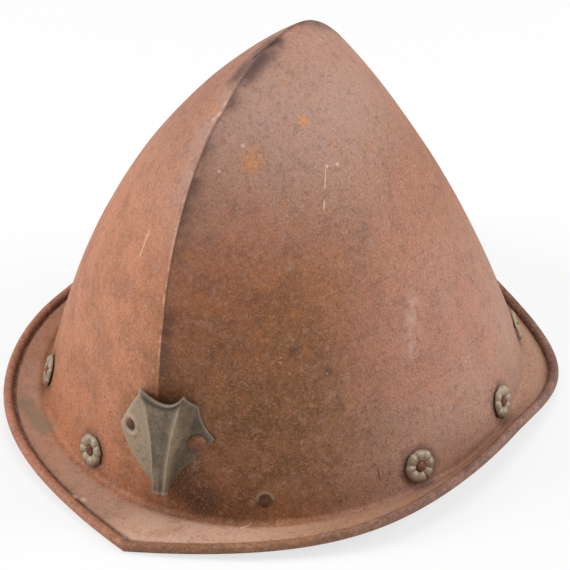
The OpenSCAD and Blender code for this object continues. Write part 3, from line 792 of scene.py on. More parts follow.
# %% Knocks and the closed peak
knocks = (((2, -105.9, 98.3), 5.0, (0.0, 0.8, 0.0)), ((-4, -47, 174.0), 7.0, (0.5, 0.7, -1.1)),
          ((49.5, -79, 81), 16.0, (-0.5, 0.6, -0.2)), ((-60, -70, 60), 22.0, (0.5, 0.4, 0.0)),
          ((30, -60, 140), 24.0, (-0.4, 0.5, -0.2)), ((107, -27, 9), 9.0, (0, 0, -0.5)),
          ((-38, -124, 4), 9.0, (0, 0, 0.35)))
for spot, reach, push in knocks:
    close = np.exp(-np.sum((rings - spot) ** 2, -1) / reach ** 2)
    rings += close[..., None] * np.array(push)
points = rings.reshape(-1, 3)
points[:, 2] = np.maximum(points[:, 2], 0)
marks = {name: np.tile(values, stations) for name, values in
         (("brim", brim_mark), ("roll", roll_mark), ("groove", groove_mark),
          ("inside", inside_mark))}

poles = np.array([[0, crown_y, crown_h], [0, crown_y, 0.0]])
poles[1, 2] = rings[:, -1, 2].max() + 0.3
marks = {name: np.append(np.ravel(values), [0, float(name == "inside")])
         for name, values in marks.items()}
skull = make_piece("skull_iron", np.vstack([points, poles]), skin_faces(stations, ring_count),
                   marks, iron_finish)

# %% [markdown]
# ## Trees that shape a mesh
# Small forms and uneven surfaces are drawn by Geometry Nodes. Each tree has named numbers as its
# inputs, and ends by making its copies real and giving them their finish. The result is kept as a
# plain mesh, so that a piece needs no modifier afterwards.

# %% Geometry trees
def new_tree(name, numbers, takes_geometry=True):
    """A Geometry Nodes tree with named number inputs, and a bench to build it on."""
    tree = bpy.data.node_groups.new(name, "GeometryNodeTree")
    if takes_geometry:
        tree.interface.new_socket("Geometry", in_out="INPUT", socket_type="NodeSocketGeometry")
    for label, value in numbers.items():
        kind = "NodeSocketInt" if isinstance(value, int) else "NodeSocketFloat"
        tree.interface.new_socket(label, in_out="INPUT", socket_type=kind).default_value = value
    tree.interface.new_socket("Geometry", in_out="OUTPUT", socket_type="NodeSocketGeometry")
    bench = Bench(tree)
    inputs = bench.add("NodeGroupInput").socket.node
    return tree, bench, {s.name: Flow(bench, s) for s in inputs.outputs if s.name}


def end_tree(bench, geometry, material):
    smooth = bench.add("GeometryNodeSetShadeSmooth", {}, {"Geometry": geometry})
    real = bench.add("GeometryNodeRealizeInstances", {}, {0: smooth})
    painted = bench.add("GeometryNodeSetMaterial", {}, {"Geometry": real, "Material": material})
    bench.add("NodeGroupOutput", {}, {0: painted})


def run_tree(piece, tree, **numbers):
    """Puts a tree on a piece, sets its inputs by identifier, and keeps the mesh that comes out."""
    modifier = piece.modifiers.new(tree.name, "NODES")
    modifier.node_group = tree
    for socket in tree.interface.items_tree:
        if socket.in_out == "INPUT" and socket.name in numbers:
            modifier[socket.identifier] = numbers[socket.name]
    graph = bpy.context.evaluated_depsgraph_get()
    mesh = bpy.data.meshes.new_from_object(piece.evaluated_get(graph), depsgraph=graph)
    piece.modifiers.clear()
    piece.data = mesh
    mesh.name = piece.name


# %% [markdown]
# The hammer leaves the sheet faintly uneven, so a tree moves every point by a slow noise. It uses
# the noise's colour as a push in three directions, and the inner and the outer face, which lie
# close together, move alike. The lowest points are held still, because the helmet stands on them.

# %% Hammered surface
def push_from(bench, dimensions, **sockets):
    """A push in any direction, from a noise's colour."""
    noise = bench.add("ShaderNodeTexNoise", {"noise_dimensions": dimensions}, sockets, 1)
    return Arrow(bench, noise.socket) - (0.5, 0.5, 0.5)


def uneven_tree(name, finish, still, free, detail):
    """Pushes every point by a noise, fully above the height free and not below still."""
    tree, bench, given = new_tree(name, {"Depth": 0.0008, "Size": 22.0, "Seed": 7.0})
    place = bench.add("GeometryNodeInputPosition")
    push = push_from(bench, "4D", Vector=place, W=given["Seed"], Scale=given["Size"],
                     Detail=detail)
    offset = push.scaled(given["Depth"] * place.parts()[2].step(still, free))
    moved = bench.add("GeometryNodeSetPosition", {}, {
        "Geometry": given["Geometry"], "Offset": offset})
    end_tree(bench, moved, finish)
    return tree


hammer = uneven_tree("hammered_sheet", iron_finish, 0.004, 0.03, 1.5)
run_tree(skull, hammer, Depth=0.0010, Size=24.0, Seed=7.0)
skull.data.set_sharp_from_angle(angle=math.radians(32))
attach(skull, "root")
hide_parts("skull")
print("skull:", len(skull.data.polygons), "faces")

# %% [markdown]
# ## Where the rivets stand
# The lining rivets stand in a row a little above the brim. Each place is a point of the wall and
# the direction straight out of it. The first rivet on the right has lost its rosette.

# %% Rivet places
right_bearings, left_bearings, rivet_rise = (23.5, 61, 94, 128, 161), (21, 54, 91, 127, 160), 10.4


def turn_at(wanted, share):
    return float(halve(0.0, 2.0, lambda turn: bearing(wall(share, turn)) < wanted))


def rivet_place(wanted, side):
    foot_turn = turn_at(wanted, 0.0)
    height = wall(0.0, foot_turn)[2] + rivet_rise
    turn = turn_at(wanted, float(share_at(height, foot_turn)))
    share = float(share_at(height, turn))
    spot, near_by = wall(share, turn), 0.004
    out = np.cross(wall(share, turn + near_by) - wall(share, turn - near_by),
                   wall(share + near_by, turn) - spot)
    flip = np.array([side, 1, 1])
    return spot * flip, unit(out) * flip


lining_places = [rivet_place(b, 1) for b in right_bearings] + \
    [rivet_place(b, -1) for b in left_bearings]
rosette_places = lining_places[1:]
print("rivets:", len(lining_places), "rosettes:", len(rosette_places))

# %% [markdown]
# A painted shadow lies on the iron round each rosette. The finish can't tell where the rosettes
# stand, so the skull's points carry a mark that is 1 beside a rosette and fades to 0 a few
# millimetres off.

# %% Painted shadow round the rosettes
shadow_close, shadow_end = 8.0, 11.5


def ramp(values, low, high):
    """0 at low and 1 at high, and held outside them; low may be the larger."""
    return np.clip((values - low) / (high - low), 0, 1)


skull_points = np.empty(len(skull.data.vertices) * 3, np.float32)
skull.data.vertices.foreach_get("co", skull_points)
skull_points = skull_points.reshape(-1, 3) * 1000
closest = np.min([np.linalg.norm(skull_points - spot, axis=1) for spot, _ in rosette_places], 0)
rosette_shadow = skull.data.attributes.new("rosette_shadow", "FLOAT", "POINT")
rosette_shadow.data.foreach_set("value", ramp(closest, shadow_end, shadow_close).astype(np.float32))
print("points with dirt:", int(np.sum(closest < shadow_end)))

# %% [markdown]
# ## Rosettes
# Each rosette was struck from thin brass: eight full petals round a raised ring, with the rivet in
# the middle. A Geometry Nodes tree shapes it from a flat grid. One side of the grid becomes the
# angle and the other the way from the middle over the top, round the rim and back underneath. A
# little noise by seed makes each one its own.

# %% Rosette tree
def round_grid(bench, around, along):
    """A grid to bend round an axis, each point's angle, and its share of the way along."""
    grid = bench.add("GeometryNodeMeshGrid", {}, {"Size X": 1.0, "Size Y": 1.0,
                                                  "Vertices X": around, "Vertices Y": along})
    u, v, _ = bench.add("GeometryNodeInputPosition").parts()
    return grid, (u + 0.5) * (2 * math.pi), v + 0.5


def marked(bench, geometry, name, value):
    return bench.add("GeometryNodeStoreNamedAttribute", {"data_type": "FLOAT", "domain": "POINT"},
                     {"Geometry": geometry, "Name": name, "Value": value})


def merged(bench, geometry):
    return bench.add("GeometryNodeMergeByDistance", {}, {"Geometry": geometry,
                                                         "Distance": 0.00001})


rosette_tree, bench, given = new_tree(
    "rosette", {"Radius": 0.008, "Petals": 8, "Depth": 0.0019, "Seed": 1.0}, False)
grid, angle, way = round_grid(bench, 97, 30)
# The way out to the rim takes this share of the section, and the way back the rest
turn_back, ring_at = 0.76, 0.36
out_share = (way / turn_back).at_most(1.0) - ((way - turn_back) / (1 - turn_back)).at_least(0.0)
wobble = bench.noise(bench.around(1.0, angle, given["Seed"]), 2.2, 2)
petal = (angle * given["Petals"] * 0.5 + (wobble - 0.5) * 3.4).cosine().math("ABSOLUTE")
groove = petal ** 0.4
rim = 0.91 + groove * 0.07 + (wobble - 0.5) * 0.2
bulge = (((out_share - 0.34) / 0.66).at_least(0.0) * math.pi).sine() ** 0.6
ring = ((out_share - ring_at).math("ABSOLUTE") / 0.07).step(1.0, 0.0)
top = 0.34 + bulge * (0.22 + groove * 0.44) + ring * 0.14 - out_share.step(ring_at, 0.27) * 0.24
top = top - out_share.step(0.86, 1.0) * 0.16
behind = way.step(turn_back, 0.79)
height = (top * (1.0 - behind) + 0.10 * behind) * given["Depth"]
shaped = bench.add("GeometryNodeSetPosition", {}, {
    "Geometry": grid,
    "Position": bench.around(out_share * rim * given["Radius"], angle, height)})

# %% [markdown]
# The ring and the petals' tops are rubbed and carry a painted highlight. The grooves between the
# petals, the hollow round the rivet and the rim get painted shade. Both marks go with the mesh, for
# the brass finish to read.

# %% Wear and dirt of the rosettes
rubbed_and_highlight = (ring * 0.35 + (bulge - 0.6).at_least(0.0) * 1.8 * groove) * (1.0 - behind)
# Painted shade in the grooves, the hollow round the rivet and the rim
hollow = any_of([petal.step(0.34, 0.1) * out_share.step(0.3, 0.5) * 0.75,
                 out_share.step(0.42, 0.34) * 0.8, out_share.step(0.9, 1.0) * 0.7])
shaped = marked(bench, shaped, "edge", rubbed_and_highlight)
shaped = marked(bench, shaped, "dark", hollow * (1.0 - behind))
end_tree(bench, merged(bench, shaped), rosette_finish)
print("rosette tree:", len(rosette_tree.nodes), "nodes")

# %% [markdown]
# Each rosette is turned so that its axis points straight out of the wall there, and spun a little
# further than the one before, so that no two stand alike.

# %% Rosettes on the skull
def stand_on(piece, spot, out, lift=0.0, spin=0.0):
    """Places a finished mesh on the wall, by moving its points."""
    turned = Vector(out).to_track_quat("Z", "Y").to_matrix().to_4x4()
    piece.data.transform(Matrix.Translation(Vector(spot) / 1000) @ turned @
                         Matrix.Translation((0, 0, lift)) @ Matrix.Rotation(spin, 4, "Z"))
    piece.data.update()


for number, (spot, out) in enumerate(rosette_places, 1):
    rosette = make_piece(f"rosette_brass_{number}", [(0, 0, 0)], [])
    run_tree(rosette, rosette_tree, Radius=0.0080, Petals=8, Depth=0.0024, Seed=3.1 * number)
    stand_on(rosette, spot, out, 0.0001, 0.7 * number)
    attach(rosette, "root")
    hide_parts(f"rosette_{number}")
print("one rosette:", len(rosette.data.polygons), "faces")

# %% [markdown]
# ## Rivets
# All rivets are one small tree: a head turned from a grid, placed on points that carry the
# direction out of the wall. Hand hammering leaves each head a little different, so the tree turns
# and stretches every copy by a random amount with a fixed seed.

# %% Form of a rivet
def rivet_head(bench, given):
    """A rivet from a grid: a dome, its flat underside, the shank and the hammered tail."""
    shank, tail_swell, tail_length, dent = 0.0015, 0.0008, 0.0010, 0.0006
    grid, angle, way = round_grid(bench, 25, 25)
    dome, under_head, down, close = [
        (way * 4 - float(quarter)).at_least(0.0).at_most(1.0) for quarter in range(4)]
    dome = dome * (math.pi / 2)
    radius = given["Head Radius"] * dome.sine() + (shank - given["Head Radius"]) * under_head
    radius = radius * (1.0 - close.step(0.5, 1.0)) + (close * math.pi).sine() * tail_swell
    height = given["Seat"] + given["Head Height"] * dome.cosine()
    height = height - (given["Seat"] + given["Tail"]) * down - close * tail_length
    place = bench.around(radius, angle, height)
    push = push_from(bench, "3D", Vector=place, Scale=420.0)
    return merged(bench, bench.add("GeometryNodeSetPosition", {}, {
        "Geometry": grid, "Position": place, "Offset": push.scaled(dent)}))


# %% [markdown]
# The tree that places a rivet reads its direction and its size from the point that stands for it.

# %% Placing rivets
def rivet_tree(name, head_radius, head_height, seat, tail):
    tree, bench, given = new_tree(name, {"Head Radius": head_radius, "Head Height": head_height,
                                         "Seat": seat, "Tail": tail, "Seed": 5})
    full_turn, smallest, largest = 6.28, (0.93, 0.93, 0.96), (1.04, 1.04, 1.04)
    out = bench.add("GeometryNodeInputNamedAttribute", {"data_type": "FLOAT_VECTOR"},
                    {"Name": "out"})
    aim = bench.add("FunctionNodeAlignRotationToVector", {"axis": "Z"}, {"Vector": out})
    spin = bench.add("FunctionNodeRandomValue", {"data_type": "FLOAT"},
                     {2: 0.0, 3: full_turn, "Seed": given["Seed"]}, 1)
    turned = bench.add("FunctionNodeRotateRotation", {"rotation_space": "LOCAL"},
                       {0: aim, 1: bench.arrow(0.0, 0.0, spin)})
    stretch = bench.add("FunctionNodeRandomValue", {"data_type": "FLOAT_VECTOR"},
                        {0: smallest, 1: largest, "Seed": given["Seed"]})
    size = bench.add("GeometryNodeInputNamedAttribute", {"data_type": "FLOAT_VECTOR"},
                     {"Name": "size"})
    placed = bench.add("GeometryNodeInstanceOnPoints", {}, {
        "Points": given["Geometry"], "Instance": rivet_head(bench, given),
        "Rotation": turned, "Scale": stretch * size})
    end_tree(bench, placed, rivet_finish)
    return tree


# %% [markdown]
# A rivet's place, its direction and its size are attributes of one point. The bare rivet, which
# has lost its rosette, is a little thinner and taller than its fellows.

# %% Lining rivets
def rivets(name, places, tree, node, sizes):
    piece = make_piece(name, [spot for spot, _ in places], [])
    for label, values in (("out", [out for _, out in places]), ("size", sizes)):
        mark = piece.data.attributes.new(label, "FLOAT_VECTOR", "POINT")
        mark.data.foreach_set("vector", np.ravel(values))
    run_tree(piece, tree)
    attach(piece, "root")
    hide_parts(node)
    print(name, len(piece.data.polygons), "faces")


lining_rivet = rivet_tree("lining_rivet", head_radius=0.0025, head_height=0.0008, seat=0.00172,
                          tail=0.00495)
rivets("lining_rivet_heads", lining_places, lining_rivet, "lining_rivets",
       [(0.9, 0.9, 1.15)] + [(1, 1, 1)] * 9)

# %% [markdown]
# ## The plume holder
# The holder is one sheet of brass. A channel stands off the keel to take the plume's stem, wings
# fall away from it to the skull, and the top edge is left thick like a lip. It is drawn as rows
# from bottom to top, front and back, with the places of the solid model.

# %% Curves of the holder
brass, low_z, top_z, ear_z, ear_half_w = 1.2, 14.5, 70.0, 41.0, 23.5
ear_share = (ear_z - low_z) / (top_z - low_z)
holder_slope = math.tan(math.radians(6))


def between(a, b, share):
    return a + (b - a) * share


def back_y(x, z):
    """How far behind the origin the skull lies at a width and a height."""
    def at(share):
        back, front, k = bezier(back_curve, share), bezier(front_curve, share), keel_factor * share
        cosine = np.clip((np.abs(x) / bezier(side_curve, share) + k) / (1 + k), -1, 1)
        half_l = (front - back) / 2 * (1 + k) / np.sqrt(1 + 2 * k)
        y = (front + back) / 2 - half_l * np.sqrt(1 - cosine ** 2)
        return y, lifted(y, bezier(height_curve, share))

    zero = np.zeros_like(x + z)
    return at(halve(zero, zero + 0.6, lambda share: at(share)[1] < z, 24))[0]


print("skull behind the holder:", round(float(back_y(np.array(0.0), np.array(ear_z))), 2), "mm")

# %% [markdown]
# Across the sheet the inner half is the channel and the outer parts are the wings. The channel
# stands further off the skull, and is wider, towards the top. It leans a little to the wearer's
# right, as in the photograph.

# %% Form of the holder
# Each pair is the value at the holder's foot and the value at its top
channel_half_w, channel_depth = (3.2, 10.2), (4.8, 5.6)
right_shift, wing_slope = (3.0, 6.5), (1.4, 9.0)
foot_half_w, top_half_w, top_dip, fold_depth = 3.8, 10.8, 6.5, 0.4
shift_fade, wing_slope_share, wing_sink = 0.85, 0.18, 0.25


def holder_half_w(f, side):
    def form(left_share, right_share):
        return np.where(side < 0, left_share, right_share) * ear_half_w
    below = bezier((foot_half_w, form(0.51, 0.1), form(0.94, 0.56), ear_half_w),
                   np.clip(f / ear_share, 0, 1))
    above = bezier((ear_half_w, form(0.86, 0.5), form(0.66, 0.55), top_half_w),
                   np.clip((f - ear_share) / (1 - ear_share), 0, 1))
    return np.where(f < ear_share, below, above)


def holder_point(f, across):
    """across runs -1 to 1 over the sheet; the inner part of it is the channel."""
    side, away = np.sign(across), np.abs(across)
    channel, half_w = between(*channel_half_w, f ** 2), holder_half_w(f, side)
    x = side * np.where(away < 0.5, channel * away / 0.5,
                        between(channel, half_w, (away - 0.5) / 0.5))
    z = between(low_z, top_z - top_dip * (1 - (x / half_w) ** 2) * f * f, f) + x * holder_slope
    moved = x + between(*right_shift, f) * (1 - shift_fade * (x / ear_half_w) ** 2)
    folds = fold_depth * f * np.minimum(1, np.abs(x) / channel) ** 3
    flat = back_y(0 * x, z) - between(*channel_depth, f) - folds
    wing = back_y(moved, z) - wing_sink
    slope = np.maximum(between(*wing_slope, f * f), wing_slope_share * (half_w - channel))
    drop = ramp(np.abs(x), channel, channel + slope)
    drop = drop * drop * (3 - 2 * drop)
    return np.stack([moved, between(np.minimum(flat, wing), wing, drop), z], -1)


# %% [markdown]
# The sheet has a front and a back, a thickness that grows into the lip, and edges that are rounded
# by thinning. Round the left rivet the brass is beaten up into a rim.

# %% Mesh of the holder
def bell(values, middle, width):
    """1 in the middle and fading on both sides."""
    return np.exp(-((values - middle) / width) ** 2)


rows, columns = 80, 97
lip_thick, dish, rim_rise, left_rivet = 0.8, 0.5, 0.9, (-15.9, -110.0, 41.0)
f_grid, across_grid = np.meshgrid(np.linspace(0, 1, rows), np.linspace(-1, 1, columns),
                                  indexing="ij")
away = np.abs(across_grid)
inner = holder_point(f_grid, across_grid)
inner[..., 1] += np.clip(1 - (across_grid / 0.42) ** 2, 0, 1) * dish * f_grid
rounding = np.minimum(ramp(away, 1.0, 0.95), ramp(np.minimum(f_grid, 1 - f_grid), 0, 0.02))
thick = (brass + lip_thick * ramp(f_grid, 0.945, 0.98)) * (0.55 + 0.45 * np.sqrt(rounding))
outer = inner - thick[..., None] * np.array([0.0, 1.0, 0.0])
from_rivet = np.linalg.norm((outer - left_rivet) * (1, 0, 1), axis=-1)
rivet_rim = bell(from_rivet, 4.3, 1.1) * rounding
outer[..., 1] -= rim_rise * rivet_rim
print("holder grid:", rows, "by", columns)

# %% [markdown]
# Front and back are two grids of faces with opposite turns, and a strip of faces joins them round
# the edge, so that the sheet is a closed solid.

# %% Faces of the holder
half = rows * columns
faces = []
for i in range(rows - 1):
    for j in range(columns - 1):
        a = i * columns + j
        faces.append([a, a + columns, a + columns + 1, a + 1])
        faces.append([half + a, half + a + 1, half + a + columns + 1, half + a + columns])
rim = list(range(columns - 1)) + [i * columns + columns - 1 for i in range(rows - 1)] + \
    [(rows - 1) * columns + j for j in range(columns - 1, 0, -1)] + \
    [i * columns for i in range(rows - 1, 0, -1)]
for a, b in zip(rim, rim[1:] + rim[:1]):
    faces.append([a, b, half + b, half + a])
print("holder sheet:", len(faces), "faces")

# %% [markdown]
# The edges and the rivet's rim are rubbed, and the folds carry a painted highlight. Painted shade
# lies in the trough of the channel, on the tip of the right wing, in the sunk hole of the left
# rivet and all over the back, which faces the skull. Under the lip it is darker too.

# %% Wear and dirt of the holder
# Painted highlight on the two folds: a thin line on the left one and a broad band on the right one
fold_highlight = np.where(across_grid < 0, bell(across_grid, -0.49, 0.045),
                0.75 * bell(across_grid, 0.47, 0.10))
holder_wear_and_highlight = np.maximum.reduce([fold_highlight * 0.7, (1 - rounding) * 0.7, 0.6 * rivet_rim,
                               bell(f_grid, 0.02, 0.02), 0.3 * bell(f_grid, 0.99, 0.008)])
# Painted shade in the trough, on the right wing's tip and in the left rivet's hole; under the lip
# it is darker too
under_lip = bell(f_grid, 0.962, 0.034) * 0.8 * ramp(away, 0.62, 0.46)
trough = bell(across_grid, 0.12, 0.16) * np.clip(1.1 - 0.9 * f_grid, 0, 1) * 0.55
right_tip = ramp(across_grid, 0.6, 0.9) * ramp(f_grid, 0.2, 0.6) * 0.3
holder_shade_and_dark_lip = np.maximum.reduce([under_lip, trough, right_tip, ramp(from_rivet, 3.4, 2.4) * 0.9])
# Painted light: the left wing, which faces the left lamp, is laid on paler
left_wing = ramp(across_grid, -0.45, -0.60)


def both_sides(back, front):
    return np.concatenate([np.broadcast_to(back, (rows, columns)).ravel(), front.ravel()])


# On the back, which faces the skull, painted shade lies all over
holder = make_piece("plume_holder_brass", np.concatenate([inner, outer]).reshape(-1, 3), faces,
                    {"edge": both_sides(holder_wear_and_highlight * 0.4, holder_wear_and_highlight),
                     "pale": both_sides(0.0, left_wing), "dark": both_sides(0.8, holder_shade_and_dark_lip)},
                    brass_finish)
beat = uneven_tree("beaten_brass", brass_finish, -1.0, 0.0, 2.0)
run_tree(holder, beat, Depth=0.0008, Size=80.0, Seed=9.0)
holder.data.set_sharp_from_angle(angle=math.radians(50))
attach(holder, "root")
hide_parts("plume_holder")
print("holder:", len(holder.data.polygons), "faces")

# %% [markdown]
# Two large rivets hold the wings, one on each side. The left one is smaller and sunk in its rim,
# as the photograph shows it.

# %% Rivets of the holder
rivet_x, rivet_shift, rivet_z = 16.5, 0.6, 41.0


def holder_place(side):
    x, z = np.array(rivet_x + side * rivet_shift), np.array(rivet_z)
    spot = np.array([x, back_y(x, z), z])
    across = np.array([1, back_y(x + 0.5, z) - back_y(x - 0.5, z), 0])
    rise = np.array([0, back_y(x, z + 0.5) - back_y(x, z - 0.5), 1])
    flip = np.array([side, 1, 1])
    return spot * flip, unit(np.cross(across, rise)) * flip


plume_rivet = rivet_tree("plume_rivet", head_radius=0.0043, head_height=0.0024, seat=0.0016,
                         tail=0.00295)
rivets("plume_rivet_heads", [holder_place(1), holder_place(-1)], plume_rivet, "plume_rivets",
       [(1.05, 1.05, 1.0), (0.74, 0.74, 0.55)])

# %% [markdown]
# ## The lining
# A leather band is riveted inside the skull, and the quilted cap is sewn to it. The cap is linen
# over wadding, stitched in upright channels that narrow to the top, where a lace draws it in. Its
# bulges swell inside the space that the solid cap keeps free.

# %% Curves of the cap
band_thick, stack_gap, liner_thick, liner_low, liner_top = 1.8, 0.35, 9.0, 15.5, 152.0
liner_out = sheet + band_thick + 3 * stack_gap
dome_share, narrowing, tilt_back = 0.86, 9, 6


def liner_point(f, turn, depth):
    lift = np.sin(np.pi / 2 * f)
    low = wall(0.0, turn)[..., 2] + liner_low
    share = share_at(between(low, dome_share * liner_top, lift), turn)
    out = wall(share, turn, liner_out + depth + narrowing * lift ** 3)
    close = np.sqrt(np.maximum(0, 1 - f ** 5))
    y = foot_mid + (out[..., 1] - foot_mid) * close - tilt_back * f ** 2
    z = out[..., 2] + ((1 - dome_share) * liner_top - depth * lift) * lift ** 8
    return np.stack([out[..., 0] * close, y, z], -1)


print("the lining starts", liner_out, "mm inside the skull")

# %% [markdown]
# The quilting is a formula over the rows of stitches: the cap is pinched where a stitch line runs
# and at the hem, and swells between. The cloth's own map is laid over it in metres.

# %% Quilted cap
channels, round_steps, rise_steps = 28, 28 * 10, 46
stitch_depth, hem_depth, thinnest, top_inset = 3.0, 2.6, 0.8, 0.6
cloth_round, cloth_rise = 0.66, 0.2
round_turns = np.arange(round_steps) / round_steps * 4
rises = np.linspace(0, 1, rise_steps + 1)[:-1]
turn_grid, rise_grid = np.meshgrid(round_turns, rises, indexing="ij")
channel_phase = np.abs(np.sin(np.pi * channels * turn_grid / 4))
puff = channel_phase ** 0.55 * (0.35 + 0.65 * ramp(rise_grid, 1.0, 0.5))
hem = ramp(rise_grid, 0, 0.035) ** 0.5
pinch = np.minimum(stitch_depth * (1 - puff) + (1 - hem) * hem_depth, (liner_thick - thinnest) / 2)
outer = liner_point(rise_grid, turn_grid, pinch)
inner = liner_point(rise_grid, turn_grid, liner_thick - pinch)
ends = [liner_point(np.array(1.0), np.array(0.0), depth)
        for depth in (top_inset, liner_thick - top_inset)]
profile = np.concatenate([outer[:, ::-1], inner], 1)
count = profile.shape[1]
seam = 1 - channel_phase ** 0.35
cap = make_piece("quilted_cap", np.vstack([profile.reshape(-1, 3), *ends]),
                 skin_faces(round_steps, count),
                 {"seam": np.append(np.concatenate([seam[:, ::-1], seam], 1).ravel(), [0, 0])},
                 linen_finish)
uv = cap.data.uv_layers.new(name="cloth")
loops = np.zeros(len(cap.data.loops), int)
cap.data.loops.foreach_get("vertex_index", loops)
flat_u = np.append(np.repeat(round_turns / 4 * cloth_round, count), [0, 0])
flat_v = np.append(np.tile(np.concatenate([rises[::-1], rises]) * cloth_rise, round_steps),
                   [cloth_rise, cloth_rise])
uv.data.foreach_set("uv", np.stack([flat_u[loops], flat_v[loops]], -1).ravel())
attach(cap, "root")
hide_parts("liner")
print("cap:", len(cap.data.polygons), "faces in", channels, "channels")

# %% [markdown]
# The band is a strap of leather that follows the skull at a small gap. Its section is a thin
# rectangle with rounded edges, drawn at 240 places round the skull.

# %% Leather band
band_foot, band_rise, band_steps = 3.2, 20.0, 240
band_turns = np.arange(band_steps) / band_steps * 4
foot_heights = wall(0.0, band_turns)[:, 2]
outer_gap = sheet + stack_gap
band_low, band_high = [share_at(foot_heights + rise, band_turns, outer_gap, 0.2)
                       for rise in (band_foot, band_foot + band_rise)]
climb = np.linspace(0.03, 0.97, 9)
edge_depth = [(0.02, 0.35), (0.0, 0.9), (0.02, 1.45)]
route = [(c, 0.0) for c in climb[::-1]] + edge_depth + [(c, band_thick) for c in climb] + \
    [(1 - c, d) for c, d in edge_depth[::-1]]
band_rings = np.stack([wall(between(band_low, band_high, c), band_turns, outer_gap + d)
                       for c, d in route], 1)
band = make_piece("leather_band", band_rings.reshape(-1, 3),
                  grid_faces(len(band_turns), len(route), True), {}, leather_finish)
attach(band, "root")
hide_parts("lining_band")
print("band:", len(band.data.polygons), "faces")

# %% [markdown]
# ## Stitches and lace
# The cap's hem is sewn with waxed thread. A stitch is one small ball, stretched, and a tree places
# copies of it along the hem: it samples the path at even steps and turns each copy along it.

# %% Hem stitches
def stitch_tree(name):
    tree, bench, given = new_tree(name, {"Spacing": 0.0055, "Length": 0.0036, "Thread": 0.00045})
    path = bench.add("GeometryNodeMeshToCurve", {}, {0: given["Geometry"]})
    path = bench.add("GeometryNodeResampleCurve", {"mode": "LENGTH"},
                     {"Curve": path, "Length": given["Spacing"]})
    ball = bench.add("GeometryNodeMeshUVSphere", {}, {"Segments": 8, "Rings": 6, "Radius": 1.0})
    stitch = bench.add("GeometryNodeTransform", {}, {
        "Geometry": ball,
        "Scale": bench.arrow(given["Thread"], given["Thread"], given["Length"] * 0.5)})
    tangent = bench.add("GeometryNodeInputTangent")
    aim = bench.add("FunctionNodeAlignRotationToVector", {"axis": "Z"}, {"Vector": tangent})
    placed = bench.add("GeometryNodeInstanceOnPoints", {}, {
        "Points": path, "Instance": stitch, "Rotation": aim})
    end_tree(bench, placed, cord_finish)
    return tree


hem_steps, hem_rise, hem_sink = 320, 0.028, 0.55
hem_path = liner_point(np.full(hem_steps, hem_rise), np.arange(hem_steps) / hem_steps * 4,
                       liner_thick - hem_sink)
hem = make_piece("hem_stitches", hem_path, [],
                 edges=[(i, (i + 1) % hem_steps) for i in range(hem_steps)])
run_tree(hem, stitch_tree("running_stitch"), Spacing=0.0055, Length=0.0036, Thread=0.00045)
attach(hem, "root")
print("stitches:", len(hem.data.polygons), "faces")

# %% [markdown]
# The lace that draws the cap's top together is three strands that wind round each other. A tree
# bends each of them from a circle with sines and cosines, a third of a twist apart, so that the
# cord's twist is a shape and needs no picture of it.

# %% Draw lace
strand_count = 3
lace_tree, bench, given = new_tree(
    "draw_lace", {"Ring": 0.009, "Strand": 0.00062, "Lay": 0.00062, "Twists": 22}, False)
strands = []
for number in range(strand_count):
    circle = bench.add("GeometryNodeMeshCircle", {}, {"Vertices": 260, "Radius": 1.0})
    x, y, _ = bench.add("GeometryNodeInputPosition").parts()
    angle = y.math("ARCTAN2", x)
    phase = angle * given["Twists"] + number * 2 * math.pi / strand_count
    wound = bench.add("GeometryNodeSetPosition", {}, {
        "Geometry": circle,
        "Position": bench.around(given["Ring"] + given["Lay"] * phase.cosine(), angle,
                                 given["Lay"] * phase.sine())})
    curve = bench.add("GeometryNodeMeshToCurve", {}, {0: wound})
    tube = bench.add("GeometryNodeCurvePrimitiveCircle", {"mode": "RADIUS"},
                     {"Resolution": 8, "Radius": given["Strand"]})
    strands.append(bench.add("GeometryNodeCurveToMesh", {},
                             {"Curve": curve, "Profile Curve": tube}))
joined = bench.add("GeometryNodeJoinGeometry")
for strand in strands[::-1]:
    lace_tree.links.new(strand.socket, joined.socket.node.inputs[0])
end_tree(bench, joined, cord_finish)
lace = make_piece("draw_lace", [(0, 0, 0)], [])
run_tree(lace, lace_tree)
lace_low, lace_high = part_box("liner_lace")
lace.data.transform(Matrix.Translation((lace_low + lace_high) / 2))
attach(lace, "root")
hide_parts("liner_lace")
print("lace:", len(lace.data.polygons), "faces")

# %% [markdown]
# ## Small solids that stay
# The wire in the rolled edge and the burrs under the rivets' tails are hidden and simple, so the
# solid model's own pieces stay and only take the finishes.

# %% Small solids that stay
for node, finish in (("rim_wire", iron_finish), ("lining_burrs", rivet_finish),
                     ("plume_burrs", rivet_finish)):
    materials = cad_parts[node].data.materials
    materials.clear()
    materials.append(finish)
    print("finished:", node)

# %% [markdown]
# ## Floor and light
# The photograph has a white ground and broad soft lamps: one on the left that lights the face left
# of the keel, one on the right behind the flank, and a weaker one above. The floor is near white
# and keeps the helmet's soft shadow.

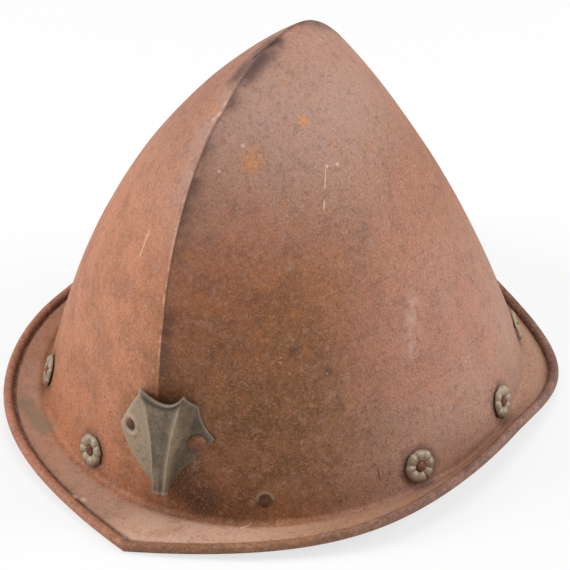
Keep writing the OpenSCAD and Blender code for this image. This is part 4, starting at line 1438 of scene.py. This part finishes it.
# %% Floor
floor_half, whiteness = 6, 0.72
floor_material, bench, place = new_finish("pale_floor")
seen = bench.add("ShaderNodeLightPath", out="Is Camera Ray")
white = bench.add("ShaderNodeEmission", {}, {"Color": (1, 1, 1, 1), "Strength": 1.0})
chalk = bench.add("ShaderNodeBsdfDiffuse", {}, {"Color": (0.86, 0.86, 0.86, 1)})
blend = bench.add("ShaderNodeMixShader", {}, {0: seen * whiteness, 1: chalk, 2: white})
bench.add("ShaderNodeOutputMaterial", {}, {"Surface": blend})
floor_mesh = bpy.data.meshes.new("floor")
corners = [(x * floor_half, y * floor_half, 0) for x, y in ((-1, -1), (1, -1), (1, 1), (-1, 1))]
floor_mesh.from_pydata(corners, [], [(0, 1, 2, 3)])
floor_mesh.materials.append(floor_material)
floor = bpy.data.objects.new("floor", floor_mesh)
bpy.context.scene.collection.objects.link(floor)

# %% [markdown]
# Each lamp is a wide disk, so that its shadows are soft, and it is aimed at the middle of the
# helmet. The sky is plain white to the camera and dimmer as a light.

# %% Lamps and sky
def lamp(name, place, size, power):
    data = bpy.data.lights.new(name, "AREA")
    data.shape, data.size, data.energy = "DISK", size, power
    light = bpy.data.objects.new(name, data)
    light.location = place
    aim = Vector((0, 0, 0.07)) - Vector(place)
    light.rotation_euler = aim.to_track_quat("-Z", "Y").to_euler()
    bpy.context.scene.collection.objects.link(light)


lamp("left_lamp", (-1.25, -0.75, 0.75), 0.9, 17)
lamp("right_lamp", (1.30, 0.70, 0.75), 0.9, 15)
lamp("top_lamp", (0.0, 0.2, 1.7), 1.1, 10)
sky_light = 0.35
world = bpy.data.worlds.new("studio")
bpy.context.scene.world = world
world.use_nodes = True
world.node_tree.nodes.clear()
bench = Bench(world.node_tree)
seen = bench.add("ShaderNodeLightPath", out="Is Camera Ray").at_least(
    bench.add("ShaderNodeLightPath", out="Is Transmission Ray"))
sky = bench.add("ShaderNodeBackground", {}, {
    "Color": (1, 1, 1, 1), "Strength": sky_light + seen * (1 - sky_light)})
bench.add("ShaderNodeOutputWorld", {}, {"Surface": sky})
bpy.context.scene.view_settings.view_transform = "Standard"
